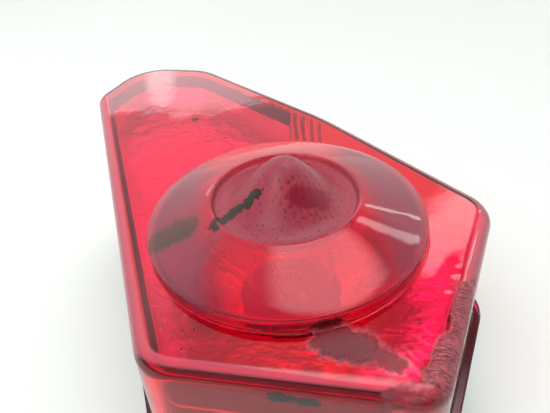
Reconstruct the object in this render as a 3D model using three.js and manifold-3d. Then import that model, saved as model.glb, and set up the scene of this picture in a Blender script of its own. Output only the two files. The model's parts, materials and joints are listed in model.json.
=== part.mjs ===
// Tail light with a red bullseye lens, in millimetres.
// The lamp lies on its back: +Z points out of the lens, +Y is up on the vehicle and +X is to its right.
// Everything is drawn about the axis of the round bullseye, with z = 0 on the lens's flat face. At the
// end the group is moved, so that its origin is under the middle of its box, where it rests.

import * as THREE from 'three';
import { mergeVertices } from 'three/addons/utils/BufferGeometryUtils.js';
import Module from 'manifold-3d';

const wasm = await Module();
wasm.setup();

// ---------------------------------------------------------------------------------------------
// Driving dimensions
// ---------------------------------------------------------------------------------------------

const GAP = 0.3; // left between neighbouring pieces

// Outline of the lens's face, counter-clockwise from the lower left: corner x, y and corner radius
const CORNERS = [
  [-23.2, -46.4, 11],
  [36.2, -46.4, 8],
  [53.1, 13.1, 11],
  [4.7, 58.5, 90],
  [-48.9, 97.5, 19],
  [-80.0, 98.9, 18],
  [-86.6, 69.6, 10],
];
const CORNER_STEPS = 4;
const SMALLEST_RADIUS = 1;

const FACE_FILLET = 4; // between the face and the side walls
const INNER_FILLET = 1.5;
const FILLET_STEPS = 4;
const LENS_WALL = 2.5;
const LENS_DEPTH = 38; // from the face to the flange
const LENS_DRAFT = 1.3; // the walls lean out by this much over that depth
const FLANGE_GROW = 3.8; // the flange's edge beyond the face's outline
const FLANGE_THICK = 2.8;
const SLANT_CORNER = 3; // the blunt corner in the long slanting wall
const RIBS = 13; // light-spreading ribs inside that wall, from its blunt corner upwards
const RIB_START = -1.5;
const RIB_PITCH = 3.85;
const RIB_RADIUS = 1.2;
const RIB_RISE = 0.5; // how far they stand out of the wall, under the face

// Bullseye: a raised round step, a cone, a dished floor and a bell-shaped point
const BULLSEYE_R = 35;
const STEP_HEIGHT = 3.5;
const CONE_TOP_R = 18.7;
const CONE_TOP = 9.3;
const FLOOR_R = 16.2;
const FLOOR_HEIGHT = 7.5;
const APEX = 19.5;
const BELL_RINGS = 6;

const SEAL_THICK = 1;
const SEAL_OUTER = 3;
const SEAL_INNER = 0.2;

// Housing, the black tray behind the lens
const TRAY_FLANGE = 3;
const TRAY_DEPTH = 12.6; // from the top of its flange to its outer back
const TRAY_WALL = 3;
const TRAY_MOUTH = -5; // inner outline at the flange
const TRAY_FLOOR = -7.5; // inner outline at the floor

// Reflector: a deck under the lens's face, a skirt round it, and a parabolic bowl for the bulb. A rim
// stands on the deck along its lower, left and far sides.
const DECK_Z = -14;
const DECK_THICK = 1.6;
const DECK_GROW = -3.4;
const DECK_ROUND = 2;
const RIM_THICK = 1.2;
const RIM_TOP = -4;
const RIM_SLANT_END = 26; // it ends this far along the slanting wall, from the wall's blunt corner
const RIM_LOWER_END = 28; // and at this x on the lower side
const FOCUS_Z = -17; // the bulb's filaments are here
const FOCAL_LENGTH = 14;
const BOWL_HOLE_R = 14.8;
const BOWL_MOUTH_R = 26;
const BOWL_RINGS = 5;

// Socket port in the housing's back, and the twist-lock tabs behind it
const PORT_R = 15;
const TAB_ANGLES = [30, 150, 270];
const TAB_HALF_ANGLE = 14;
const NOTCH_HALF_ANGLE = 17;
const TAB_R = 18;
const TAB_THICK = 2.5;
const UNLOCK_ANGLE = -35;
const COLLAR_R = 22.6;

// Bulb holder
const BARREL_R = 14.6;
const BARREL_TOP = -46;
const BORE_R = 9.2;
const HOLDER_FLANGE_R = 21;
const HOLDER_FLANGE_THICK = 2.7;
const HOLDER_FLOOR = -69.7;
const HOLDER_BACK = -73;
const GASKET_THICK = 1.7;
const GASKET_RIM = 20.4;
const SLEEVE_TOP = -43;
const INLET_WIDTH = 23;
const INLET_HEIGHT = 11;
const INLET_REACH = 34; // from the axis to the mouth of the connector inlet
const INLET_WALL = 1.6;
const INLET_CAVITY = 10.5;
const TERMINAL_PITCH = 6;
const TERMINAL_THICK = 0.8;
const TERMINAL_WIDTH = 4.4;

// Bulb: 25 mm glass on a 15 mm bayonet base with two offset pins
const GLASS_R = 12.5;
const GLASS_WALL = 0.8;
const NECK_R = 6.4;
const GLASS_FOOT = -40;
const GLASS_LOW = -48; // degrees below the ball's middle where it meets the neck
const GLASS_RINGS = 7;
const NECK_TOP = -36; // the straight neck ends here
const SHOULDER = { height: -33, flare: 1.2 };
const STEM_TOP = -27.5;
const BASE_R = 7.5;
const BASE_TOP = -37.5;
const BASE_FOOT = -56.5;
const BASE_WALL = 0.6;
const INSULATOR_THICK = 2;
const PIN_R = 1;
const PIN_REACH = 8.75;
const PIN_HEIGHTS = { high: -45.5, low: -48.5 };
const CONTACT_SPACING = 3.2; // each contact's distance from the bulb's axis
const CONTACT_R = 1.6;
const PUSH = 2.5; // the bulb is pushed in by this much before it turns
const ENTRY_ANGLE = 25; // the bayonet slot's entry leg, from the pin at rest

// Mounting bosses on the housing's back, with threaded inserts: x, y
const BOSSES = [[38.5, 7], [-15.5, -33], [-66, 79]];
const BOSS_R = 8;
const BOSS_FOOT = -74.5;
const INSERT_R = 5.2;
const INSERT_BORE = 3.4;
const INSERT_LENGTH = 12;
const GUSSET = 9;

// Screws that hold the reflector, from behind: x, y
const SCREWS = [[-60, 62], [16, 31], [26, -35]];
const SCREW_R = 1.2;
const SCREW_HEAD_R = 3.2;
const SCREW_HEAD = 2;
const POST_R = 3.2;

const VENT = [-38, 36];
const VENT_R = 3;

const ROUND = 28; // sides of a turned piece
const FINE = 44; // sides of the bullseye

const FAR = 120; // beyond the lamp on every side

// Heights that follow from these
const LENS_BACK = -LENS_DEPTH - FLANGE_THICK;
const SEAL_TOP = LENS_BACK - GAP;
const TRAY_TOP = SEAL_TOP - SEAL_THICK - GAP;
const TRAY_BACK = TRAY_TOP - TRAY_DEPTH;
const TRAY_INSIDE = TRAY_BACK + TRAY_WALL;
const GASKET_TOP = TRAY_BACK - GAP;
const HOLDER_FLANGE_TOP = GASKET_TOP - GASKET_THICK - GAP;

// ---------------------------------------------------------------------------------------------
// Shapes
// ---------------------------------------------------------------------------------------------

// The lens's outline grown outward by `grow`, as points with rounded corners
function outline(grow) {
  const points = [];
  CORNERS.forEach(([x, y, cornerRadius], i) => {
    const [beforeX, beforeY] = CORNERS.at(i - 1);
    const [afterX, afterY] = CORNERS[(i + 1) % CORNERS.length];
    const radius = Math.max(cornerRadius + grow, SMALLEST_RADIUS);
    const from = Math.atan2(y - beforeY, x - beforeX) - Math.PI / 2;
    const to = Math.atan2(afterY - y, afterX - x) - Math.PI / 2;
    const turn = THREE.MathUtils.euclideanModulo(to - from, 2 * Math.PI);
    const reach = (grow - radius) / (1 + Math.cos(turn));
    const centreX = x + reach * (Math.cos(from) + Math.cos(to));
    const centreY = y + reach * (Math.sin(from) + Math.sin(to));
    for (let k = 0; k <= CORNER_STEPS; k += 1) {
      const angle = from + (turn * k) / CORNER_STEPS;
      points.push(new THREE.Vector2(
        centreX + radius * Math.cos(angle),
        centreY + radius * Math.sin(angle),
      ));
    }
  });
  return points;
}

// A closed geometry becomes a solid that can be joined and cut
function solid(geometry) {
  const bare = geometry.clone();
  bare.deleteAttribute('normal');
  bare.deleteAttribute('uv');
  const merged = mergeVertices(bare, 1e-5);
  const mesh = new wasm.Mesh({
    numProp: 3,
    vertProperties: new Float32Array(merged.attributes.position.array),
    triVerts: new Uint32Array(merged.index.array),
  });
  return new wasm.Manifold(mesh);
}

// A solid that follows the lens's outline, through levels of [height, grow] from the bottom up
function loft(levels) {
  const rings = levels.map(([, grow]) => outline(grow));
  const count = rings[0].length;
  const positions = rings.flatMap((ring, j) => ring.flatMap((p) => [p.x, p.y, levels[j][0]]));
  const index = [];
  for (let j = 0; j < rings.length - 1; j += 1) {
    for (let i = 0; i < count; i += 1) {
      const a = j * count + i;
      const b = j * count + ((i + 1) % count);
      index.push(a, b, b + count, a, b + count, a + count);
    }
  }
  const top = (rings.length - 1) * count;
  THREE.ShapeUtils.triangulateShape(rings[0], []).forEach(([a, b, c]) => index.push(c, b, a));
  THREE.ShapeUtils.triangulateShape(rings.at(-1), []).forEach(([a, b, c]) => {
    index.push(top + a, top + b, top + c);
  });
  const geometry = new THREE.BufferGeometry();
  geometry.setAttribute('position', new THREE.Float32BufferAttribute(positions, 3));
  geometry.setIndex(index);
  return solid(geometry);
}

// A solid turned about the Z axis, from profile points [radius, height] listed upwards on the outside
function turned(profile, sides = ROUND) {
  const points = profile.map(([r, z]) => new THREE.Vector2(r, z));
  return solid(new THREE.LatheGeometry(points, sides).rotateX(Math.PI / 2));
}

// A plain turned disc or rod between two heights
function disc(radius, bottom, top, sides = ROUND) {
  return turned([[0, bottom], [radius, bottom], [radius, top], [0, top]], sides);
}

// A turned ring
function ring(inner, outer, bottom, top, sides = ROUND) {
  return turned([[inner, bottom], [outer, bottom], [outer, top], [inner, top], [inner, bottom]], sides);
}

// A block centred on x and y, between two heights
function block(width, depth, bottom, top, x = 0, y = 0) {
  const geometry = new THREE.BoxGeometry(width, depth, top - bottom);
  return solid(geometry.translate(x, y, (bottom + top) / 2));
}

// A sector of a ring, centred on an angle in degrees
function sector(inner, outer, angle, halfAngle, bottom, top) {
  const from = THREE.MathUtils.degToRad(angle - halfAngle);
  const to = THREE.MathUtils.degToRad(angle + halfAngle);
  const shape = new THREE.Shape();
  shape.absarc(0, 0, outer, from, to, false);
  shape.absarc(0, 0, inner, to, from, true);
  const geometry = new THREE.ExtrudeGeometry(shape, {
    depth: top - bottom,
    bevelEnabled: false,
    curveSegments: 6,
  });
  return solid(geometry.translate(0, 0, bottom));
}

// A round wire along a curve
function wire(curve, radius, steps, sides) {
  const section = new THREE.Shape();
  section.absarc(0, 0, radius, 0, 2 * Math.PI, false);
  const geometry = new THREE.ExtrudeGeometry(section, {
    extrudePath: curve,
    steps,
    curveSegments: sides / 2,
    bevelEnabled: false,
  });
  return solid(geometry);
}

const moved = (body, [x, y], z = 0) => body.translate([x, y, z]);
const spun = (body, angle) => body.rotate([0, 0, angle]);
const joined = (bodies) => bodies.reduce((sum, body) => sum.add(body));

// ---------------------------------------------------------------------------------------------
// Materials
// ---------------------------------------------------------------------------------------------

function material(color, roughness, metalness) {
  return new THREE.MeshStandardMaterial({ color, roughness, metalness });
}

const lensRed = material(0xd01226, 0.15, 0);
const mouldedBlack = material(0x1a1a1c, 0.55, 0);
const sealRubber = material(0x262626, 0.85, 0);
const metallised = material(0xd9dcdf, 0.12, 1);
const zincSteel = material(0xb9bcc0, 0.35, 1);
const brass = material(0xc4a052, 0.3, 1);
const clearGlass = material(0xeef3f5, 0.03, 0);
const insulatorDark = material(0x3a2c26, 0.5, 0);
const solderGrey = material(0xa8a8aa, 0.4, 1);
const tungsten = material(0x8c8f94, 0.45, 1);

const lamp = new THREE.Group();

// Adds a finished solid to the lamp as a named mesh
function add(name, body, look) {
  const mesh = body.getMesh();
  const geometry = new THREE.BufferGeometry();
  geometry.setAttribute('position', new THREE.BufferAttribute(mesh.vertProperties, 3));
  geometry.setIndex(new THREE.BufferAttribute(mesh.triVerts, 1));
  geometry.computeVertexNormals();
  const part = new THREE.Mesh(geometry, look);
  part.name = name;
  lamp.add(part);
}

// ---------------------------------------------------------------------------------------------
// Lens
// ---------------------------------------------------------------------------------------------

// Height of the bell-shaped point above the dished floor, at a distance r from the axis
function bellHeight(r) {
  return (APEX - FLOOR_HEIGHT) * Math.cos((Math.PI / 2) * (r / FLOOR_R)) ** 2;
}

// The bullseye as a solid plug, shrunk inwards by `skin`, with its foot at `foot`
function bullseye(skin, foot) {
  const profile = [[0, foot], [BULLSEYE_R - skin, foot], [BULLSEYE_R - skin, STEP_HEIGHT - skin]];
  profile.push([CONE_TOP_R - skin / 2, CONE_TOP - skin]);
  for (let k = 0; k < BELL_RINGS; k += 1) {
    const r = (FLOOR_R * (BELL_RINGS - k)) / BELL_RINGS;
    profile.push([r, FLOOR_HEIGHT + bellHeight(r) - skin]);
  }
  profile.push([0, APEX - skin]);
  return turned(profile, FINE);
}

// Levels of the quarter-round edge between a face at height z and the walls
function filletLevels(z, grow, radius) {
  const levels = [];
  for (let k = 0; k <= FILLET_STEPS; k += 1) {
    const angle = (Math.PI / 2) * (k / FILLET_STEPS);
    levels.push([z - radius * (1 - Math.sin(angle)), grow - radius * (1 - Math.cos(angle))]);
  }
  return levels;
}

// A point by the long slanting wall, from its distances along it and inward from its outer face
function bySlantingWall(distance, depth) {
  const [cornerX, cornerY] = CORNERS[SLANT_CORNER];
  const [endX, endY] = CORNERS[SLANT_CORNER + 1];
  const along = new THREE.Vector2(endX - cornerX, endY - cornerY).normalize();
  const inward = new THREE.Vector2(-along.y, along.x);
  return new THREE.Vector2(cornerX, cornerY)
    .addScaledVector(along, distance)
    .addScaledVector(inward, depth);
}

// Upright ribs on the inside of the long slanting wall
function wallRibs() {
  const depth = LENS_WALL + RIB_RISE - RIB_RADIUS;
  const ribs = [];
  for (let k = 0; k < RIBS; k += 1) {
    const spot = bySlantingWall(RIB_START + k * RIB_PITCH, depth);
    const rib = disc(RIB_RADIUS, -LENS_DEPTH * 0.75, -LENS_WALL / 2, 8);
    ribs.push(moved(rib, [spot.x, spot.y]));
  }
  return joined(ribs);
}

function buildLens() {
  const wallFoot = [-LENS_DEPTH, LENS_DRAFT];
  const outer = loft([wallFoot, ...filletLevels(0, 0, FACE_FILLET)]);
  const inner = loft([
    [LENS_BACK - 1, LENS_DRAFT - LENS_WALL],
    ...filletLevels(-LENS_WALL, -LENS_WALL, INNER_FILLET),
  ]);
  const flange = loft([[LENS_BACK, FLANGE_GROW], [-LENS_DEPTH, FLANGE_GROW]]);
  return outer
    .add(flange)
    .add(bullseye(0, -LENS_WALL / 2))
    .subtract(inner)
    .subtract(bullseye(LENS_WALL, -LENS_WALL - 1))
    .add(wallRibs());
}

add('lens', buildLens(), lensRed);

const sealRing = loft([[SEAL_TOP - SEAL_THICK, SEAL_OUTER], [SEAL_TOP, SEAL_OUTER]]);
const sealHole = loft([[SEAL_TOP - 2 * SEAL_THICK, SEAL_INNER], [SEAL_TOP + 1, SEAL_INNER]]);
add('lens_seal', sealRing.subtract(sealHole), sealRubber);

// ---------------------------------------------------------------------------------------------
// Housing
// ---------------------------------------------------------------------------------------------

// A mounting boss with four gussets, drilled from its foot for the insert
function boss() {
  const gussetSide = new THREE.Shape([
    new THREE.Vector2(0, 0),
    new THREE.Vector2(BOSS_R + GUSSET / 2, 0),
    new THREE.Vector2(0, -GUSSET * 1.6),
  ]);
  const plate = new THREE.ExtrudeGeometry(gussetSide, { depth: 2, bevelEnabled: false });
  const gusset = solid(plate.translate(0, 0, -1).rotateX(Math.PI / 2));
  const bodies = [disc(BOSS_R, BOSS_FOOT, TRAY_INSIDE - 1)];
  for (let k = 0; k < 4; k += 1) {
    bodies.push(spun(gusset, 45 + 90 * k).translate([0, 0, TRAY_BACK + 0.5]));
  }
  const drill = disc(INSERT_R + GAP, BOSS_FOOT - 1, BOSS_FOOT + INSERT_LENGTH + 4);
  return joined(bodies).subtract(drill);
}

function buildHousing() {
  const wallMouth = TRAY_MOUTH + TRAY_WALL;
  const wallFoot = TRAY_FLOOR + TRAY_WALL;
  const flange = loft([[TRAY_TOP - TRAY_FLANGE, FLANGE_GROW], [TRAY_TOP, FLANGE_GROW]]);
  const tray = loft([[TRAY_BACK, wallFoot], [TRAY_TOP - 1, wallMouth]]);
  const hollow = loft([[TRAY_INSIDE, TRAY_FLOOR], [TRAY_TOP + 1, TRAY_MOUTH]]);
  let housing = flange.add(tray).subtract(hollow);

  const underTray = loft([[BOSS_FOOT, wallFoot], [TRAY_INSIDE, wallFoot]]);
  BOSSES.forEach((spot) => {
    housing = housing.add(moved(boss(), spot).intersect(underTray));
  });
  housing = housing.add(ring(COLLAR_R, COLLAR_R + 1.8, TRAY_BACK - 3, TRAY_BACK + 1));

  let cuts = disc(PORT_R, TRAY_BACK - 1, TRAY_INSIDE + 1);
  TAB_ANGLES.forEach((angle) => {
    const notch = [PORT_R - 1, TAB_R + 0.6, angle + UNLOCK_ANGLE, NOTCH_HALF_ANGLE];
    cuts = cuts.add(sector(...notch, TRAY_BACK - 1, TRAY_INSIDE + 1));
  });
  SCREWS.forEach((spot) => {
    cuts = cuts.add(moved(disc(SCREW_R + 0.6, TRAY_BACK - 1, TRAY_INSIDE + 1, 16), spot));
  });

  const nipple = disc(VENT_R, TRAY_BACK - 4, TRAY_INSIDE - 1, 20);
  const ventHole = disc(VENT_R - 1.4, TRAY_BACK - 5, TRAY_INSIDE + 1, 20);
  return housing
    .add(moved(nipple, VENT))
    .subtract(cuts)
    .subtract(moved(ventHole, VENT));
}

add('housing', buildHousing(), mouldedBlack);

BOSSES.forEach((spot, i) => {
  const foot = BOSS_FOOT + 0.1;
  const top = foot + INSERT_LENGTH;
  const middle = (foot + top) / 2;
  const profile = [
    [INSERT_BORE, foot], [INSERT_R, foot], [INSERT_R, middle - 1], [INSERT_R - 0.6, middle - 1],
    [INSERT_R - 0.6, middle + 1], [INSERT_R, middle + 1], [INSERT_R, top], [INSERT_BORE, top],
    [INSERT_BORE, foot],
  ];
  add(`mount_insert_${i + 1}`, moved(turned(profile, 24), spot), brass);
});

// Rubber cap over the breather nipple
const ventCap = turned([
  [0, TRAY_BACK - 6.5], [3.6, TRAY_BACK - 6.5], [5, TRAY_BACK - 5], [5, TRAY_BACK - 1.5],
  [VENT_R + GAP, TRAY_BACK - 1.5], [VENT_R + GAP, TRAY_BACK - 4 - GAP], [0, TRAY_BACK - 4 - GAP],
], 24);
add('vent_cap', moved(ventCap, VENT), sealRubber);

// ---------------------------------------------------------------------------------------------
// Reflector and its screws
// ---------------------------------------------------------------------------------------------

const bowlHeight = (r) => FOCUS_Z - FOCAL_LENGTH + (r * r) / (4 * FOCAL_LENGTH);

// The parabolic bowl's inner face, or with `skin` its back, as a solid plug that goes straight up from
// the bowl's mouth to height `top`
function bowlPlug(skin, top) {
  const profile = [[0, bowlHeight(BOWL_HOLE_R) - skin]];
  for (let k = 0; k <= BOWL_RINGS; k += 1) {
    const r = BOWL_HOLE_R + ((BOWL_MOUTH_R - BOWL_HOLE_R) * k) / BOWL_RINGS;
    profile.push([r + skin, bowlHeight(r) - skin]);
  }
  profile.push([BOWL_MOUTH_R + skin, top], [0, top]);
  return turned(profile, FINE);
}

// The upstanding rim, as a ring with its right-hand part cut away
function deckRim() {
  const foot = DECK_Z - DECK_THICK;
  const inside = DECK_GROW - RIM_THICK;
  const whole = loft([[foot, DECK_GROW], [RIM_TOP, DECK_GROW]])
    .subtract(loft([[foot - 1, inside], [RIM_TOP + 1, inside]]));
  const open = new THREE.Shape([
    new THREE.Vector2(RIM_LOWER_END, -FAR),
    new THREE.Vector2(FAR, -FAR),
    new THREE.Vector2(FAR, FAR),
    bySlantingWall(RIM_SLANT_END, -FAR / 2),
    bySlantingWall(RIM_SLANT_END, FAR / 8),
    new THREE.Vector2(RIM_LOWER_END, 0),
  ]);
  const cut = new THREE.ExtrudeGeometry(open, { depth: FAR, bevelEnabled: false });
  return whole.subtract(solid(cut.translate(0, 0, -FAR / 2)));
}

function buildReflector() {
  const foot = TRAY_TOP + GAP;
  const under = DECK_Z - DECK_THICK;
  const outer = loft([[foot, DECK_GROW], ...filletLevels(DECK_Z, DECK_GROW, DECK_ROUND)]);
  const inner = loft([[foot - 1, DECK_GROW - DECK_THICK], [under, DECK_GROW - DECK_THICK]]);
  let shell = outer.subtract(inner).add(deckRim());
  SCREWS.forEach((spot) => {
    shell = shell.add(moved(disc(POST_R, TRAY_INSIDE + 1, under + 0.5, 20), spot));
  });
  const hole = disc(BOWL_HOLE_R, bowlHeight(BOWL_HOLE_R) - 5, DECK_Z);
  shell = shell
    .add(bowlPlug(DECK_THICK, DECK_Z - 0.5))
    .subtract(bowlPlug(0, DECK_Z + 1))
    .subtract(hole);
  SCREWS.forEach((spot) => {
    shell = shell.subtract(moved(disc(SCREW_R + GAP, TRAY_INSIDE, TRAY_INSIDE + 15, 16), spot));
  });
  return shell;
}

add('reflector', buildReflector(), metallised);

// Pan-head screw with a cross recess, head downwards
function screw() {
  const top = TRAY_BACK - GAP;
  const foot = top - SCREW_HEAD;
  const tip = TRAY_INSIDE + 12;
  const body = turned([
    [0, foot], [SCREW_HEAD_R * 0.7, foot], [SCREW_HEAD_R, foot + 1], [SCREW_HEAD_R, top],
    [SCREW_R, top], [SCREW_R, tip - 2], [0.3, tip], [0, tip],
  ], 20);
  const slot = block(3.4, 0.8, foot - 1, foot + 1.1);
  return body.subtract(slot).subtract(spun(slot, 90));
}

SCREWS.forEach((spot, i) => add(`reflector_screw_${i + 1}`, moved(screw(), spot), zincSteel));

// ---------------------------------------------------------------------------------------------
// Bulb holder
// ---------------------------------------------------------------------------------------------

const INLET_TOP = HOLDER_BACK + INLET_HEIGHT;
const INLET_MIDDLE = (HOLDER_BACK + INLET_TOP) / 2;
const TERMINALS = [-TERMINAL_PITCH, 0, TERMINAL_PITCH];

function buildHolder() {
  const inletCentre = INLET_REACH / 2;
  const cavityCentre = INLET_REACH - INLET_CAVITY / 2 + 0.5;
  const flangeBottom = HOLDER_FLANGE_TOP - HOLDER_FLANGE_THICK;
  let body = disc(BARREL_R, HOLDER_BACK, BARREL_TOP)
    .add(disc(HOLDER_FLANGE_R, flangeBottom, HOLDER_FLANGE_TOP))
    .add(block(INLET_WIDTH, INLET_REACH, HOLDER_BACK, INLET_TOP, 0, inletCentre));
  TAB_ANGLES.forEach((angle) => {
    const bottom = TRAY_INSIDE + GAP;
    body = body.add(sector(BARREL_R - 1, TAB_R, angle, TAB_HALF_ANGLE, bottom, bottom + TAB_THICK));
  });
  const cavityWidth = INLET_WIDTH - 2 * INLET_WALL;
  const cavity = [HOLDER_BACK + INLET_WALL, INLET_TOP - INLET_WALL, 0, cavityCentre];
  body = body
    .subtract(disc(BORE_R, HOLDER_FLOOR, BARREL_TOP + 1))
    .subtract(block(cavityWidth, INLET_CAVITY + 1, ...cavity));
  TERMINALS.forEach((x) => {
    const slot = [TERMINAL_THICK + 2 * GAP, INLET_REACH - INLET_CAVITY];
    const low = INLET_MIDDLE - TERMINAL_WIDTH / 2 - GAP;
    const high = INLET_MIDDLE + TERMINAL_WIDTH / 2 + GAP;
    body = body.subtract(block(...slot, low, high, x, slot[1] / 2 + 1));
  });
  return body;
}

add('socket_body', buildHolder(), mouldedBlack);

const gasketFoot = GASKET_TOP - GASKET_THICK;
const gasket = turned([
  [BARREL_R + GAP, gasketFoot + 0.4], [BARREL_R + 0.8, gasketFoot], [GASKET_RIM - 0.5, gasketFoot],
  [GASKET_RIM, gasketFoot + 0.4], [GASKET_RIM, GASKET_TOP - 0.4], [GASKET_RIM - 0.5, GASKET_TOP],
  [BARREL_R + 0.8, GASKET_TOP], [BARREL_R + GAP, GASKET_TOP - 0.4], [BARREL_R + GAP, gasketFoot + 0.4],
]);
add('socket_gasket', gasket, sealRubber);

// Metal sleeve with a J-shaped slot for each of the bulb's two pins
function buildSleeve() {
  const inner = BASE_R + GAP;
  const outer = inner + BASE_WALL;
  const foot = HOLDER_FLOOR + GAP;
  let sleeve = ring(inner, outer, foot, SLEEVE_TOP).add(ring(inner, BORE_R - GAP, foot, foot + 1));
  const half = PIN_R + GAP;
  Object.values(PIN_HEIGHTS).forEach((height, i) => {
    const low = height - PUSH - half;
    const legs = [
      spun(block(4, 2 * half, low, SLEEVE_TOP + 1, outer), ENTRY_ANGLE),
      block(4, 2 * half, low, height + half, outer),
      sector(inner - 1, outer + 1, ENTRY_ANGLE / 2, ENTRY_ANGLE / 2, low, low + 2 * half),
    ];
    sleeve = sleeve.subtract(spun(joined(legs), 180 * i));
  });
  return sleeve;
}

add('bayonet_sleeve', buildSleeve(), zincSteel);

TERMINALS.forEach((x, i) => {
  const start = BORE_R + 0.5;
  const end = INLET_REACH - 2;
  const side = new THREE.Shape([
    new THREE.Vector2(start, -TERMINAL_WIDTH / 2),
    new THREE.Vector2(end - 1.5, -TERMINAL_WIDTH / 2),
    new THREE.Vector2(end, -TERMINAL_WIDTH / 2 + 1.2),
    new THREE.Vector2(end, TERMINAL_WIDTH / 2 - 1.2),
    new THREE.Vector2(end - 1.5, TERMINAL_WIDTH / 2),
    new THREE.Vector2(start, TERMINAL_WIDTH / 2),
  ]);
  const blade = new THREE.ExtrudeGeometry(side, { depth: TERMINAL_THICK, bevelEnabled: false })
    .translate(0, 0, -TERMINAL_THICK / 2)
    .rotateX(Math.PI / 2)
    .rotateZ(Math.PI / 2);
  add(`terminal_${i + 1}`, moved(solid(blade), [x, 0], INLET_MIDDLE), brass);
});

// ---------------------------------------------------------------------------------------------
// Sprung contact plate
// ---------------------------------------------------------------------------------------------

const CONTACT_FOOT = BASE_FOOT - 1; // lowest point of the bulb's solder contacts
const STUD_TOP = CONTACT_FOOT - GAP;
const PLATE_TOP = STUD_TOP - 0.5;
const PLATE_THICK = 2;
const PLATE_FOOT = PLATE_TOP - PLATE_THICK;
const CONTACT_SPOTS = { tail: [0, CONTACT_SPACING], brake: [0, -CONTACT_SPACING] };

const stud = turned([
  [0, PLATE_FOOT - 1], [1.4, PLATE_FOOT - 1], [1.4, STUD_TOP - 0.3], [1, STUD_TOP], [0, STUD_TOP],
], 16);
const studHole = disc(1.4 + GAP, PLATE_FOOT - 1, PLATE_TOP + 1, 16);
let plate = disc(BASE_R - 0.3, PLATE_FOOT, PLATE_TOP);
Object.values(CONTACT_SPOTS).forEach((spot) => {
  plate = plate.subtract(moved(studHole, spot));
});
add('contact_plate', plate, insulatorDark);
Object.entries(CONTACT_SPOTS).forEach(([name, spot]) => {
  add(`contact_stud_${name}`, moved(stud, spot), brass);
});

// Compression spring between the plate and the holder's floor
class Helix extends THREE.Curve {
  constructor(radius, bottom, top, turns) {
    super();
    Object.assign(this, { radius, bottom, top, turns });
  }

  getPoint(t, target = new THREE.Vector3()) {
    const angle = 2 * Math.PI * this.turns * t;
    const height = this.bottom + (this.top - this.bottom) * t;
    return target.set(this.radius * Math.cos(angle), this.radius * Math.sin(angle), height);
  }
}

const SPRING_WIRE = 0.45;
const springEnd = GAP + SPRING_WIRE;
const springPath = new Helix(5.9, HOLDER_FLOOR + springEnd + 0.3, PLATE_FOOT - springEnd, 4);
add('contact_spring', wire(springPath, SPRING_WIRE, 56, 6), zincSteel);

// ---------------------------------------------------------------------------------------------
// Bulb
// ---------------------------------------------------------------------------------------------

// The glass's outline from its foot up, shrunk inwards by `skin`
function glassProfile(skin) {
  const radius = GLASS_R - skin;
  const neck = NECK_R - skin;
  const profile = [[neck, GLASS_FOOT], [neck, NECK_TOP], [neck + SHOULDER.flare, SHOULDER.height]];
  for (let k = 0; k <= GLASS_RINGS; k += 1) {
    const angle = THREE.MathUtils.degToRad(GLASS_LOW + ((90 - GLASS_LOW) * k) / GLASS_RINGS);
    profile.push([Math.max(radius * Math.cos(angle), 0), FOCUS_Z + radius * Math.sin(angle)]);
  }
  return profile;
}

const glassBlock = turned([[0, GLASS_FOOT], ...glassProfile(0)]);
const glassInside = turned([
  [0, GLASS_FOOT - 1], [NECK_R - GLASS_WALL, GLASS_FOOT - 1], ...glassProfile(GLASS_WALL),
]);
add('bulb_glass', glassBlock.subtract(glassInside), clearGlass);

const PINS = [
  { name: 'high', height: PIN_HEIGHTS.high, angle: 0 },
  { name: 'low', height: PIN_HEIGHTS.low, angle: 180 },
];

// A round pin that lies along +X, turned to its angle
function radialRod(radius, from, to, height, angle) {
  const rod = solid(new THREE.CylinderGeometry(radius, radius, to - from, 14).rotateZ(Math.PI / 2));
  return spun(rod.translate([(from + to) / 2, 0, height]), angle);
}

let base = ring(BASE_R - BASE_WALL, BASE_R, BASE_FOOT, BASE_TOP);
PINS.forEach(({ height, angle }) => {
  base = base.subtract(radialRod(PIN_R + 0.2, BASE_R - 2, BASE_R + 1, height, angle));
});
add('bulb_base', base, brass);
PINS.forEach(({ name, height, angle }) => {
  add(`bulb_pin_${name}`, radialRod(PIN_R, BASE_R - 1.4, PIN_REACH, height, angle), brass);
});

const insulator = disc(BASE_R - BASE_WALL - GAP, BASE_FOOT, BASE_FOOT + INSULATOR_THICK);
add('bulb_insulator', insulator, insulatorDark);
const solderDome = turned([
  [0, CONTACT_FOOT], [0.9, CONTACT_FOOT], [CONTACT_R, CONTACT_FOOT + 0.5],
  [CONTACT_R, BASE_FOOT - GAP], [0, BASE_FOOT - GAP],
], 16);
Object.entries(CONTACT_SPOTS).forEach(([name, spot]) => {
  add(`bulb_contact_${name}`, moved(solderDome, spot), solderGrey);
});

// Glass stem inside the neck, which carries the filament wires
const stem = turned([
  [0, GLASS_FOOT + 0.5], [NECK_R - GLASS_WALL - GAP, GLASS_FOOT + 0.5], [4.6, NECK_TOP - 1],
  [2.6, SHOULDER.height], [2.2, STEM_TOP - 0.5], [0, STEM_TOP],
], 20);
add('glass_stem', stem, clearGlass);

// Each filament with its two support wires is one bent wire: up, across and down again
function filament(y, height, span) {
  const foot = STEM_TOP + GAP;
  const points = [
    [-1, foot], [-span, height - 3], [-span, height - 0.6], [0, height], [span, height - 0.6],
    [span, height - 3], [1, foot],
  ];
  const path = new THREE.CatmullRomCurve3(points.map(([x, z]) => new THREE.Vector3(x, y, z)));
  return wire(path, 0.3, 22, 6);
}

add('filament_tail', filament(1.1, FOCUS_Z + 1.5, 3.2), tungsten);
add('filament_brake', filament(-1.1, FOCUS_Z, 4), tungsten);

// ---------------------------------------------------------------------------------------------
// Origin under the middle of the lamp's box
// ---------------------------------------------------------------------------------------------

const box = new THREE.Box3().setFromObject(lamp);
const centre = box.getCenter(new THREE.Vector3());
lamp.position.set(-centre.x, -centre.y, -box.min.z);

const group = new THREE.Group();
group.name = 'tail_light';
group.add(lamp);

export default group;
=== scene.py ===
import json
import math

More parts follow.
